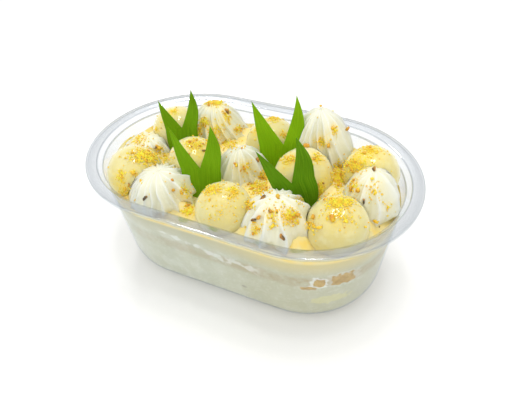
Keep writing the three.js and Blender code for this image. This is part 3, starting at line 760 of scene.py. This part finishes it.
# ---- crumbs ------------------------------------------------------------------------------
# How many crumbs of a kind each one counted in a patch stands for.
CRUMB_PLENTY = {"golden": 2.8, "toasted": 3, "dark": 2}
CRUMB_RADII = {"golden": (0.14, 0.5), "toasted": (0.35, 0.8), "dark": (0.25, 0.5)}
SEEN_SHARE = 0.4  # of the strewn crumbs that stay where the camera sees them, as the patches lie there
FULL_DUST = 0.45  # golden crumbs per square pixel of a patch that makes its middle golden all over
BATCH = 150  # grains made at a time


def topping_tree(names):
    """A search tree of the surfaces that crumbs can lie on."""
    corners = []
    faces = []
    for name in names:
        mesh = bpy.data.objects[name].data
        start = len(corners)
        corners += [vert.co.copy() for vert in mesh.vertices]
        faces += [[start + corner for corner in face.vertices] for face in mesh.polygons]
    return BVHTree.FromPolygons(corners, faces)


def crumb(spot, normal, radius, chance, sunk, long=1.0):
    """Where a knobbly grain that lies on a surface goes: its place, and its seed."""
    tilt = normal.to_track_quat("Z", "Y").to_matrix().to_4x4()
    turn = Matrix.Rotation(chance.uniform(0, 2 * math.pi), 4, "Z")
    sides = (chance.uniform(0.8, 1.3) * long, chance.uniform(0.7, 1.1), chance.uniform(0.55, 0.95), 1)
    place = Matrix.Translation(spot + normal * radius * (0.75 - sunk))
    return place @ tilt @ turn @ Matrix.Diagonal(sides) @ Matrix.Scale(radius, 4), chance.random()


def joined_crumbs(grains):
    """One bmesh of all the grains of a kind. It is made in batches, because a large one is slow to add to."""
    whole = bmesh.new()
    for start in range(0, len(grains), BATCH):
        batch = bmesh.new()
        for place, seed in grains[start : start + BATCH]:
            chance = random.Random(seed)
            grain = bmesh.ops.create_icosphere(batch, subdivisions=1, radius=1)
            for vert in grain["verts"]:
                knob = Vector((chance.uniform(-1, 1), chance.uniform(-1, 1), chance.uniform(-1, 1)))
                vert.co = place @ (vert.co + 0.22 * knob)
        mesh = bpy.data.meshes.new("batch")
        batch.to_mesh(mesh)
        batch.free()
        whole.from_mesh(mesh)
        bpy.data.meshes.remove(mesh)
    return whole


# ---- materials ---------------------------------------------------------------------------
def add_node(tree, kind, inputs=None, **settings):
    """Adds a node; an input is a value, or the output of another node that feeds it."""
    made = tree.nodes.new(kind)
    for name, value in settings.items():
        setattr(made, name, value)
    for name, value in (inputs or {}).items():
        if isinstance(value, bpy.types.NodeSocket):
            tree.links.new(value, made.inputs[name])
        else:
            made.inputs[name].default_value = value
    return made


def mixed(tree, factor, first, second):
    """The colour between two colours."""
    made = add_node(tree, "ShaderNodeMix", {0: factor, 6: first, 7: second}, data_type="RGBA")
    return made.outputs[2]


def calculated(tree, operation, result, *values, **settings):
    """The result of an operation on two or more values, from left to right."""
    for value in values:
        inputs = {0: result, 1: value}
        result = add_node(tree, "ShaderNodeMath", inputs, operation=operation, **settings).outputs[0]
    return result


def product(tree, *values):
    return calculated(tree, "MULTIPLY", *values)


def vector_math(tree, operation, *values):
    inputs = dict(enumerate(values))
    return add_node(tree, "ShaderNodeVectorMath", inputs, operation=operation).outputs


def remapped(tree, value, low, high, to_low=0.0, to_high=1.0):
    sockets = {"Value": value, "From Min": low, "From Max": high, "To Min": to_low, "To Max": to_high}
    return add_node(tree, "ShaderNodeMapRange", sockets).outputs["Result"]


def own_place(tree):
    return add_node(tree, "ShaderNodeTexCoord").outputs["Object"]


def own_axis(tree, axis):
    """How far a spot lies along its object's X, Y or Z."""
    return add_node(tree, "ShaderNodeSeparateXYZ", {0: own_place(tree)}).outputs[axis]


def fading(tree, axis, low, high, *to):
    """Runs from 0 to 1, or between two other values, from one place of an axis to another, in
    millimetres."""
    return remapped(tree, own_axis(tree, axis), low * MM, high * MM, *to)


def stored(tree, name):
    """What a mesh holds under a name for each of its points."""
    return add_node(tree, "ShaderNodeAttribute", attribute_name=name).outputs["Fac"]


def slant_of(tree):
    """How nearly edge on a spot is seen, from 0 to 1."""
    return add_node(tree, "ShaderNodeLayerWeight", {"Blend": 0.5}).outputs["Facing"]


def clouded(tree, scale, detail, place=None):
    """Soft noise, laid out by the object's own places if no others are given."""
    inputs = {"Vector": place or own_place(tree), "Scale": scale, "Detail": detail}
    return add_node(tree, "ShaderNodeTexNoise", inputs).outputs[0]


def effect(name, inputs, output, build):
    """A node group, built once: named inputs of a kind, and the number that build returns."""
    if name in bpy.data.node_groups:
        return bpy.data.node_groups[name]
    group = bpy.data.node_groups.new(name, "ShaderNodeTree")
    for socket, kind in inputs.items():
        group.interface.new_socket(socket, in_out="INPUT", socket_type=f"NodeSocket{kind}")
    group.interface.new_socket(output, in_out="OUTPUT", socket_type="NodeSocketFloat")
    entry = group.nodes.new("NodeGroupInput")
    leaving = group.nodes.new("NodeGroupOutput")
    group.links.new(build(group, entry.outputs), leaving.inputs[output])
    return group


def add_effect(tree, group, inputs):
    return add_node(tree, "ShaderNodeGroup", inputs, node_tree=group).outputs[0]


def mottle():
    """Soft blotches of a scale, sharpened by a contrast."""
    def build(tree, entry):
        spread = calculated(tree, "SUBTRACT", clouded(tree, entry["Scale"], 3), 0.5)
        spread = product(tree, spread, entry["Contrast"])
        return calculated(tree, "ADD", spread, 0.5, use_clamp=True)

    return effect("Mottle", {"Scale": "Float", "Contrast": "Float"}, "Mask", build)


def mottled(tree, scale, contrast):
    return add_effect(tree, mottle(), {"Scale": scale, "Contrast": contrast})


def ragged_patch():
    """A patch about a centre, with a ragged edge."""
    def build(tree, entry):
        offset = vector_math(tree, "SUBTRACT", own_place(tree), entry["Centre"])[0]
        scaled = vector_math(tree, "DIVIDE", offset, entry["Reach"])[0]
        sides = vector_math(tree, "ABSOLUTE", scaled)[0]
        sides = add_node(tree, "ShaderNodeSeparateXYZ", {0: sides}).outputs
        away = add_node(tree, "ShaderNodeMix", {
            0: entry["Squareness"], 2: vector_math(tree, "LENGTH", scaled)["Value"],
            3: calculated(tree, "MAXIMUM", sides["X"], sides["Y"], sides["Z"]),
        }).outputs[0]
        rough = calculated(tree, "SUBTRACT", clouded(tree, 420, 4), 0.5)
        rough = product(tree, rough, entry["Raggedness"])
        return remapped(tree, calculated(tree, "ADD", away, rough), 1.08, 0.9)

    sockets = {"Centre": "Vector", "Reach": "Vector", "Raggedness": "Float", "Squareness": "Float"}
    return effect("Ragged Patch", sockets, "Mask", build)


def patched(tree, centre, reach, raggedness, squareness=0.0):
    """Where a ragged patch shows; its middle and half sizes are in millimetres."""
    return add_effect(tree, ragged_patch(), {
        "Centre": Vector(centre) * MM, "Reach": Vector(reach) * MM,
        "Raggedness": raggedness, "Squareness": squareness,
    })


def fine_relief():
    """Two scales of soft bumps, as a height."""
    def build(tree, entry):
        broad, fine = (clouded(tree, entry[socket], 2) for socket in ("Broad Scale", "Fine Scale"))
        return calculated(tree, "ADD", broad, product(tree, fine, entry["Fine Share"]))

    sockets = dict.fromkeys(("Broad Scale", "Fine Scale", "Fine Share"), "Float")
    return effect("Fine Relief", sockets, "Height", build)


def surface(name, values):
    """A material with one Principled shader, and its tree and shader."""
    made = bpy.data.materials.new(name)
    made.use_nodes = True
    shader = made.node_tree.nodes["Principled BSDF"]
    for socket, value in values.items():
        shader.inputs[socket].default_value = value
    return made, made.node_tree, shader


def bumped(tree, shader, height, distance):
    """Raises a shader's surface by a height of up to a distance in millimetres."""
    bump = add_node(tree, "ShaderNodeBump", {"Height": height, "Distance": distance * MM})
    tree.links.new(bump.outputs[0], shader.inputs["Normal"])


def roughened(tree, shader, distance, *scales):
    """Gives a shader the fine relief, by its two scales and the finer one's share."""
    inputs = dict(zip(("Broad Scale", "Fine Scale", "Fine Share"), scales))
    bumped(tree, shader, add_effect(tree, fine_relief(), inputs), distance)


def covered(tree, shader, tone, distance, *scales):
    """Gives a shader its colour and its fine relief."""
    tree.links.new(tone, shader.inputs["Base Color"])
    roughened(tree, shader, distance, *scales)


def clear_plastic(tub):
    """Thin clear plastic: a tinted see-through film that mirrors more the flatter it is seen, with painted
    shade along the rim's creases.
    """
    made, tree, shader = surface("clear_plastic", {
        "Base Color": tub.sheen, "Roughness": 0.12, "Metallic": 1.0,
    })
    roughened(tree, shader, 0.05, 60, 400, 0.05)
    slant, crease = slant_of(tree), stored(tree, "crease")
    seat = RIM_HEIGHT - tub.flange_rise
    thick = remapped(tree, own_axis(tree, "Z"), seat - 0.8 * MM, seat - 0.1 * MM)
    mirror = remapped(tree, calculated(tree, "POWER", slant, 5.0), 0.0, 1.0, tub.gloss, tub.edge_gloss)
    creased = product(tree, crease, tub.crease_gloss)
    mirror = calculated(tree, "MAXIMUM", mirror, creased, product(tree, thick, tub.haze))
    tint = mixed(tree, slant, mixed(tree, thick, tub.tint, tub.rim_tint), tub.edge_tint)
    # Painted shade along the rim's creases.
    tint = mixed(tree, crease, tint, tub.crease_shade_tint)
    film = add_node(tree, "ShaderNodeBsdfTransparent", {"Color": tint}).outputs[0]
    mix = add_node(tree, "ShaderNodeMixShader", {0: mirror, 1: film, 2: shader.outputs[0]})
    tree.links.new(mix.outputs[0], tree.nodes["Material Output"].inputs["Surface"])
    return made


def dusted(tree, tone, crumb):
    """The colour where fine golden dust lies as thick as the stain says."""
    grains = remapped(tree, mottled(tree, 1300, 4), 0.0, 1.0, 0.35, 1.0)
    return mixed(tree, product(tree, stored(tree, "stain"), grains), tone, crumb.dust)


def seeped(tree):
    """How far syrup has seeped in, towards the cup's right-hand end."""
    return fading(tree, "X", -5, 25)


def mousse_tone(tree, filling):
    """The colour of the mousse: damper blotches, paler clouds and fine pale specks."""
    tone = mixed(tree, mottled(tree, 70, 3), filling.mousse_shade, filling.mousse)
    clouds = remapped(tree, mottled(tree, 130, 5), 0.6, 1.0, 0.0, 0.16)
    tone = mixed(tree, clouds, tone, filling.smear)
    tone = mixed(tree, product(tree, seeped(tree), 0.5), tone, filling.rim_shadow_and_soak)
    specks = remapped(tree, mottled(tree, 600, 5), 0.8, 1.0, 0.0, 0.12)
    return mixed(tree, specks, tone, filling.smear)


def mousse_look(name, filling, bands):
    """Pale mousse with damper blotches; bands adds what shows against the wall."""
    made, tree, shader = surface(name, {
        "Roughness": 0.42, "Subsurface Weight": 0.25, "Subsurface Radius": (1.0, 0.8, 0.55),
        "Subsurface Scale": 1.5 * MM,
    })
    covered(tree, shader, bands(tree, mousse_tone(tree, filling)), 0.25, 220, 1200, 0.2)
    return made


def chunk_masks(tree):
    """How much a spot shows browned cake, and how much the pale froth round it."""
    browned, froths = [], []
    for centre, reach, froth in CAKE_CHUNKS:
        browned.append(patched(tree, centre, reach, 1.5, 0.6))
        outer = patched(tree, centre, Vector(reach) * FROTH_REACH, 1.5, 0.6)
        froths.append(product(tree, outer, froth))
    return [calculated(tree, "MAXIMUM", *masks) for masks in (browned, froths)]


def smear_mask(tree):
    """The white smear along the front of the wall, with a torn edge."""
    (start, high), (end, low) = SMEAR
    middle = fading(tree, "X", start, end, high * MM, low * MM)
    reach = fading(tree, "X", start, end, *(reach * MM for reach in SMEAR_REACH))
    away = calculated(tree, "SUBTRACT", own_axis(tree, "Z"), middle)
    away = calculated(tree, "DIVIDE", calculated(tree, "ABSOLUTE", away, 0.0), reach)
    away = calculated(tree, "ADD", away, remapped(tree, clouded(tree, 260, 4), 0.3, 0.7, -1.3, 1.9))
    ends = [fading(tree, "X", start - 4, start), fading(tree, "X", end + 6, end)]
    front = fading(tree, "Y", -20, -24)
    shown = remapped(tree, away, 1.2, 0.3, 0.0, 0.55)
    return product(tree, shown, calculated(tree, "MINIMUM", *ends), front)


def base_look(filling):
    """The lower mousse, with a bit of fruit, a dark speck and the lowest bits of cake."""
    def bands(tree, tone):
        fruit = product(tree, patched(tree, *FRUIT_PATCH, 1.6), 0.5)
        tone = mixed(tree, fruit, tone, filling.fruit)
        tone = mixed(tree, patched(tree, *DARK_SPECK, 1.2), tone, filling.speck)
        browned, froth = chunk_masks(tree)
        tone = mixed(tree, product(tree, froth, 0.6), tone, filling.smear)
        return mixed(tree, product(tree, browned, 0.7), tone, filling.crust)

    return mousse_look("mousse_base_look", filling, bands)


def top_look(filling):
    """The upper mousse, with painted shadow of the rim in a band just under it and syrup seeped in towards
    the right, and syrup and custard over its top.
    """
    def bands(tree, tone):
        pooled = mixed(tree, mottled(tree, 160, 3), filling.custard, filling.syrup)
        height, top = own_axis(tree, "Z"), filling.mousse_top
        over = remapped(tree, height, top - 0.9 * MM, top + 0.6 * MM)
        # Painted shadow of the rim: the mousse turns darker and yellower in a band that starts 9 mm under its
        # top and is full from 2 mm under it. Syrup also seeps into that band towards the right.
        rim_shadow_band = remapped(tree, height, top - 9 * MM, top - 2 * MM, 0.0, 0.75)
        tone = mixed(tree, rim_shadow_band, tone, filling.rim_shadow_and_soak)
        tone = mixed(tree, product(tree, rim_shadow_band, seeped(tree), 0.5), tone, filling.syrup)
        return mixed(tree, over, mixed(tree, smear_mask(tree), tone, filling.smear), pooled)

    return mousse_look("mousse_top_look", filling, bands)


def cake_look(filling):
    """Soaked cake that shows more to the right, with browned bits in pale froth."""
    made, tree, shader = surface("soaked_cake", {
        "Roughness": 0.55, "Subsurface Weight": 0.15, "Subsurface Scale": MM,
    })
    crumbly, soaked = mottled(tree, 380, 3), mottled(tree, 110, 5)
    right = fading(tree, "X", -50, 45, 0.2, 1.0)
    middle = (filling.cake_bottom + filling.cake_top) / 2
    half = (filling.cake_top - filling.cake_bottom) / 2
    away = calculated(tree, "SUBTRACT", own_axis(tree, "Z"), middle)
    inside = remapped(tree, calculated(tree, "ABSOLUTE", away, 0.0), half - 0.7 * MM, 2.2 * MM)
    shown = product(tree, right, inside, calculated(tree, "MAXIMUM", crumbly, soaked))
    tone = mixed(tree, shown, mousse_tone(tree, filling), filling.cake)
    tone = mixed(tree, smear_mask(tree), tone, filling.smear)
    browned, froth = chunk_masks(tree)
    tone = mixed(tree, froth, tone, filling.smear)
    tone = mixed(tree, browned, tone, mixed(tree, crumbly, filling.crust, filling.dry_crust))
    covered(tree, shader, tone, 0.6, 420, 1600, 0.6)
    return made


def lychee_look(settings, crumb):
    """Wet, slightly clear flesh with milky veins and painted light that makes it paler towards its edges,
    stained where golden crumbs lie.
    """
    made, tree, shader = surface("lychee_flesh", {
        "Roughness": 0.13, "Specular IOR Level": 0.4, "Subsurface Weight": 0.9,
        "Subsurface Radius": (1.0, 0.95, 0.7), "Subsurface Scale": 6 * MM,
    })
    tone = mixed(tree, mottled(tree, 75, 2.4), settings.deep, settings.flesh)
    streaks = remapped(tree, mottled(tree, 260, 3), 0.5, 1.0, 0.0, 0.3)
    tone = mixed(tree, streaks, tone, settings.milky)
    # Painted light: the flesh turns paler the more nearly edge on it is seen.
    tone = mixed(tree, remapped(tree, slant_of(tree), 0.45, 1.0, 0.0, 0.8), tone, settings.edge)
    covered(tree, shader, dusted(tree, tone, crumb), 0.4, 170, 700, 0.3)
    return made


def cream_look(settings, crumb):
    """Whipped cream with painted shade, darker and yellower, in its grooves, stained where golden crumbs lie.
    """
    made, tree, shader = surface("whipped_cream", {
        "Roughness": 0.4, "Subsurface Weight": 0.25, "Subsurface Radius": (1.0, 0.95, 0.85),
        "Subsurface Scale": MM,
    })
    uneven = remapped(tree, mottled(tree, 90, 2), 0.0, 1.0, 0.5, 1.0)
    # Painted shade in the grooves, broken up by soft blotches.
    tone = mixed(tree, product(tree, stored(tree, "groove"), uneven), settings.cream, settings.shade)
    covered(tree, shader, dusted(tree, tone, crumb), 0.16, 420, 1900, 0.35)
    return made


def leaf_look(order, settings):
    """A waxy blade with fine veins along it, read from its own map."""
    made, tree, shader = surface(f"leaf_green_{order}", {
        "Roughness": 0.5, "Specular IOR Level": 0.05, "Subsurface Weight": 0.08,
        "Subsurface Scale": 0.5 * MM,
    })
    blade = add_node(tree, "ShaderNodeUVMap", uv_map="blade").outputs[0]
    stretched = add_node(tree, "ShaderNodeMapping", {"Vector": blade, "Scale": (85, 1.8, 1)}).outputs[0]
    veins = clouded(tree, 1, 3, stretched)
    tone = mixed(tree, LEAVES[order - 1]["shade"], settings.dark, settings.bright)
    lighter = mixed(tree, 0.25, tone, settings.pale_vein)
    darker = mixed(tree, 0.3, tone, settings.dark_vein)
    veined = mixed(tree, remapped(tree, veins, 0.35, 0.65), darker, lighter)
    tone = mixed(tree, product(tree, mottled(tree, 60, 2.5), 0.5), veined, tone)
    tree.links.new(tone, shader.inputs["Base Color"])
    bumped(tree, shader, veins, 0.12)
    return made


def crumb_look(name, light, dark):
    made, tree, shader = surface(name, {
        "Roughness": 0.45, "Subsurface Weight": 0.3, "Subsurface Scale": 0.4 * MM,
    })
    covered(tree, shader, mixed(tree, mottled(tree, 350, 4), dark, light), 0.12, 1500, 5000, 0.4)
    return made


# ---- operators ---------------------------------------------------------------------------
class MOUSSECUP_OT_tub(bpy.types.Operator):
    """Model the clear tub"""

    bl_idname = "moussecup.tub"
    bl_label = "Tub"

    def execute(self, context):
        tub = context.scene.mousse_cup.tub
        section, creases = tub_section(tub)
        bm = swept_round_plan(section, tub, creases)
        piece_from(bm, "clear_tub", clear_plastic(tub), "tub_plastic", "tub")
        return {"FINISHED"}


def heap_up(bm, tub, filling, low_spots):
    """Lets the top climb at the wall and stand higher between the toppings."""
    for vert in bm.verts:
        if abs(vert.co.z - filling.mousse_top) > MM / 100:
            continue
        away = max(0.0, edge_distance(tub, filling, vert.co))
        near = math.exp(-away / (1.2 * MM))
        climb = filling.meniscus * near * (1 + 0.35 * wander(vert.co.x, vert.co.y, 1.0))
        heap = filling.heap * (1 - math.exp(-(away / filling.slope) ** 2))
        climb += heap * heaped(vert.co, low_spots, filling)
        vert.co.z = mousse_surface(filling, vert.co.x, vert.co.y) + climb
        outward = (vert.co - nearest_on_axis(vert.co)).normalized()
        vert.co += outward * near * (vert.co.z - filling.mousse_top) * math.tan(wall_line(tub).lean)


class MOUSSECUP_OT_filling(bpy.types.Operator):
    """Model the mousse and the cake, which reach just into the wall"""

    bl_idname = "moussecup.filling"
    bl_label = "Filling"

    def execute(self, context):
        settings = context.scene.mousse_cup
        tub, filling = settings.tub, settings.filling
        low, middle, high = filling.cake_bottom, filling.cake_top, filling.mousse_top
        side = side_section(tub, tub.wall - filling.bite, low)
        inward = [(side[-1][0] * part, low) for part in (0.8, 0.5, 0.25, 0)]
        base = swept_round_plan(side + inward, tub)
        cake = swept_round_plan(layer_section(tub, filling, low, middle, 4), tub)
        top = swept_round_plan(layer_section(tub, filling, middle, high, filling.rings), tub)
        for bm in (base, cake):
            level_off(bm, low, lambda x, y: cake_underside(filling, x, y))
        for bm in (cake, top):
            level_off(bm, middle, lambda x, y: cake_surface(filling, x, y))
        low_spots = [leaf_foot(leaf, settings.leaf) for leaf in LEAVES]
        low_spots += [Vector((*spot, 0)) * MM for spot in HOLLOWS]
        heap_up(top, tub, filling, low_spots)
        piece_from(base, "mousse_lower", base_look(filling), "mousse", "mousse_base", crisp=CORNER)
        piece_from(cake, "cake_band", cake_look(filling), "cake", "cake_layer", crisp=CORNER)
        piece_from(top, "mousse_upper", top_look(filling), "mousse", "mousse_top", crisp=CORNER)
        return {"FINISHED"}


class MOUSSECUP_OT_lychees(bpy.types.Operator):
    """Model the peeled lychees"""

    bl_idname = "moussecup.lychees"
    bl_label = "Lychees"

    def execute(self, context):
        settings = context.scene.mousse_cup
        look = lychee_look(settings.lychee, settings.crumb)
        for order in range(1, LYCHEES + 1):
            bm = lychee_shape(order, settings.lychee)
            piece_from(bm, f"peeled_lychee_{order}", look, "lychee", f"lychee_{order}")
        return {"FINISHED"}


class MOUSSECUP_OT_rosettes(bpy.types.Operator):
    """Model the piped cream rosettes"""

    bl_idname = "moussecup.rosettes"
    bl_label = "Cream Rosettes"

    def execute(self, context):
        settings = context.scene.mousse_cup
        look = cream_look(settings.cream, settings.crumb)
        balls = [ball_of(order) for order in range(1, LYCHEES + 1)]
        for order in range(1, len(ROSETTES) + 1):
            bm = rosette_shape(order, settings.cream)
            press_in(bm, settings.tub, balls)
            piece_from(bm, f"rosette_{order}", look, "cream", f"cream_{order}")
        return {"FINISHED"}


class MOUSSECUP_OT_leaves(bpy.types.Operator):
    """Model the forked leaves"""

    bl_idname = "moussecup.leaves"
    bl_label = "Leaves"

    def execute(self, context):
        settings = context.scene.mousse_cup.leaf
        for order in range(1, len(LEAVES) + 1):
            bm, look = leaf_shape(order, settings), leaf_look(order, settings)
            piece = piece_from(bm, f"forked_leaf_{order}", look, "leaf", f"leaf_{order}")
            solid = piece.modifiers.new("thickness", "SOLIDIFY")
            solid.thickness = settings.thickness
            solid.offset = 0
        return {"FINISHED"}


class MOUSSECUP_OT_crumbs(bpy.types.Operator):
    """Sprinkle the golden, toasted and dark crumbs"""

    bl_idname = "moussecup.crumbs"
    bl_label = "Crumbs"

    def execute(self, context):
        settings = context.scene.mousse_cup
        chance = random.Random(7)
        names = ["mousse_upper"]
        names += [f"peeled_lychee_{order}" for order in range(1, LYCHEES + 1)]
        names += [f"rosette_{order}" for order in range(1, len(ROSETTES) + 1)]
        toppings = topping_tree(names)
        crumbs = {kind: [] for kind in CRUMB_RADII}
        stains = sprinkle(settings, toppings, crumbs, chance)
        strew(settings, toppings, crumbs, chance)

        shades = settings.crumb
        looks = {
            "golden": (shades.golden, shades.amber),
            "toasted": (shades.amber, shades.toasted),
            "dark": (shades.toasted, shades.dark),
        }
        for kind, grains in crumbs.items():
            look = crumb_look(f"crumb_{kind}", *looks[kind])
            piece_from(joined_crumbs(grains), f"{kind}_crumbs", look, "lychee")
        for name in names:
            stain(bpy.data.objects[name].data, stains)
        return {"FINISHED"}


def sprinkle(settings, toppings, crumbs, chance):
    """Drops the soaked places', the patches' and the single crumbs, as the camera sees them.
    The result is the stains: place, reach and strength."""
    stains = []

    def drop(column, row, kind, radius, long=1.0):
        place, way = sight_line(settings.studio, column, row)
        spot, normal, _, _ = toppings.ray_cast(place, way)
        if spot:
            crumbs[kind].append(crumb(spot, normal, radius * MM, chance, settings.crumb.sunk, long))
        return spot

    def soak(spot, reach, strength):
        if spot:
            away = (spot - camera_axes(settings.studio)[0]).length / PICTURE.focal
            stains.append((spot, away * reach, strength))

    for column, row, reach, strength in SOAKED:
        soak(drop(column, row, "golden", 0.3), reach, strength)
    for column, row, wide, high, *counts in PATCHES:
        strength = min(1.0, counts[0] / (FULL_DUST * wide * high))
        soak(drop(column, row, "golden", 0.5), (wide + high) / 2, strength)
        for kind, count in zip(CRUMB_RADII, counts):
            for _ in range(round(CRUMB_PLENTY[kind] * count)):
                radius = between(*CRUMB_RADII[kind], chance.random() ** 2)
                drop(column + chance.gauss(0, wide / 2), row + chance.gauss(0, high / 2), kind, radius)
    for column, row, radius, kind in SPECKS:
        drop(column, row, kind, 0.85 * radius, 1.6 if kind == "dark" else 1.2)
    return stains


def strew(settings, toppings, crumbs, chance):
    """Strews crumbs over the whole top, fewer where the patches already show."""
    eye = camera_axes(settings.studio)[0]
    for _ in range(settings.crumb.strewn):
        x = chance.uniform(TUB_LOW.x, TUB_HIGH.x)
        y = chance.uniform(TUB_LOW.y, TUB_HIGH.y)
        spot, normal, _, _ = toppings.ray_cast(Vector((x, y, 2 * RIM_HEIGHT)), Vector((0, 0, -1)))
        if not spot:
            continue
        sight = spot + normal * MM - eye
        seen = toppings.ray_cast(eye, sight.normalized(), sight.length)[0] is None
        if seen and chance.random() > SEEN_SHARE:
            continue
        kind = chance.choices(list(CRUMB_RADII), (20, 2, 0.6))[0]
        radius = between(*CRUMB_RADII[kind], chance.random() ** 2) * MM
        crumbs[kind].append(crumb(spot, normal, radius, chance, settings.crumb.sunk))


def stain(mesh, stains):
    """Writes how golden the crumbs have made each point of a mesh."""
    spots = np.empty(3 * len(mesh.vertices))
    mesh.vertices.foreach_get("co", spots)
    spots = spots.reshape(-1, 3)
    total = np.zeros(len(spots))
    for middle, reach, strength in stains:
        total += strength * np.exp(-((spots - np.array(middle)) ** 2).sum(1) / reach ** 2)
    mesh.attributes.new("stain", "FLOAT", "POINT").data.foreach_set("value", np.minimum(total, 1))


# ---- the studio --------------------------------------------------------------------------
FLOOR_REACH = 4  # half the floor's width, in metres
# Lamps: place and width in metres, power in watts.
LAMPS = {
    "key": ((-0.5, -0.7, 0.5), 0.8, 1.5),
    "overhead": ((0.05, 0.2, 0.85), 0.9, 1.0),
    "fill": ((0.7, -0.5, 0.45), 0.7, 0.8),
    "front": ((0.3, -0.6, 0.7), 0.8, 0.9),
    "sparkle": ((0.06, 0.02, 0.7), 0.09, 0.9),
    "glint": ((-0.3, 0.3, 0.6), 0.07, 0.6),
}


class MOUSSECUP_OT_studio(bpy.types.Operator):
    """Set the pale floor, the soft lights and the camera"""

    bl_idname = "moussecup.studio"
    bl_label = "Studio"

    def execute(self, context):
        studio = context.scene.mousse_cup.studio
        bm = bmesh.new()
        bmesh.ops.create_grid(bm, x_segments=4, y_segments=4, size=FLOOR_REACH)
        mesh = bpy.data.meshes.new("floor")
        bm.to_mesh(mesh)
        bm.free()
        look, tree, shader = surface("pale_floor", {"Roughness": 0.7, "Specular IOR Level": 0.2})
        tone = mixed(tree, mottled(tree, 3, 0.3), studio.floor, studio.floor_cloud)
        tree.links.new(tone, shader.inputs["Base Color"])
        mesh.materials.append(look)
        floor = bpy.data.objects.new("floor", mesh)
        context.scene.collection.objects.link(floor)
        set_lights(context.scene)
        set_camera(context.scene, studio)
        return {"FINISHED"}


def set_lights(scene):
    for name, (place, width, power) in LAMPS.items():
        data = bpy.data.lights.new(name, "AREA")
        data.size = width
        data.energy = power
        lamp = bpy.data.objects.new(name, data)
        lamp.location = place
        lamp.rotation_euler = Vector(place).to_track_quat("Z", "Y").to_euler()
        scene.collection.objects.link(lamp)
    world = bpy.data.worlds.new("studio_air")
    world.use_nodes = True
    air = world.node_tree.nodes["Background"]
    air.inputs["Color"].default_value = (1.0, 0.99, 0.975, 1)
    air.inputs["Strength"].default_value = 0.8
    scene.world = world
    scene.view_settings.view_transform = "Standard"
    scene.cycles.transparent_max_bounces = 32


def set_camera(scene, studio):
    place, right, up, back = camera_axes(studio)
    data = bpy.data.cameras.new("camera")
    data.lens = data.sensor_width * PICTURE.focal / PICTURE.width
    data.shift_x = (PICTURE.width / 2 - PICTURE.column) / PICTURE.width
    data.shift_y = (PICTURE.row - PICTURE.height / 2) / PICTURE.width
    data.clip_start = 0.01
    camera = bpy.data.objects.new("camera", data)
    camera.matrix_world = Matrix((right, up, back)).transposed().to_4x4()
    camera.location = place
    scene.collection.objects.link(camera)
    scene.camera = camera


class MOUSSECUP_PT_panel(bpy.types.Panel):
    """The steps that build the cup"""

    bl_label = "Mousse Cup"
    bl_idname = "MOUSSECUP_PT_panel"
    bl_space_type = "VIEW_3D"
    bl_region_type = "UI"
    bl_category = "Mousse Cup"

    def draw(self, context):
        for step in STEPS:
            self.layout.operator(step.bl_idname)


STEPS = (
    MOUSSECUP_OT_studio, MOUSSECUP_OT_tub, MOUSSECUP_OT_filling, MOUSSECUP_OT_lychees,
    MOUSSECUP_OT_rosettes, MOUSSECUP_OT_leaves, MOUSSECUP_OT_crumbs,
)
CLASSES = (
    TubSettings, FillingSettings, LycheeSettings, CreamSettings, LeafSettings, CrumbSettings,
    StudioSettings, MousseCupSettings, *STEPS, MOUSSECUP_PT_panel,
)


def register():
    for kind in CLASSES:
        bpy.utils.register_class(kind)
    bpy.types.Scene.mousse_cup = PointerProperty(type=MousseCupSettings)


def unregister():
    del bpy.types.Scene.mousse_cup
    for kind in reversed(CLASSES):
        bpy.utils.unregister_class(kind)


def main():
    register()
    for step in STEPS:
        section, name = step.bl_idname.split(".")
        getattr(getattr(bpy.ops, section), name)()


if __name__ == "__main__":
    main()
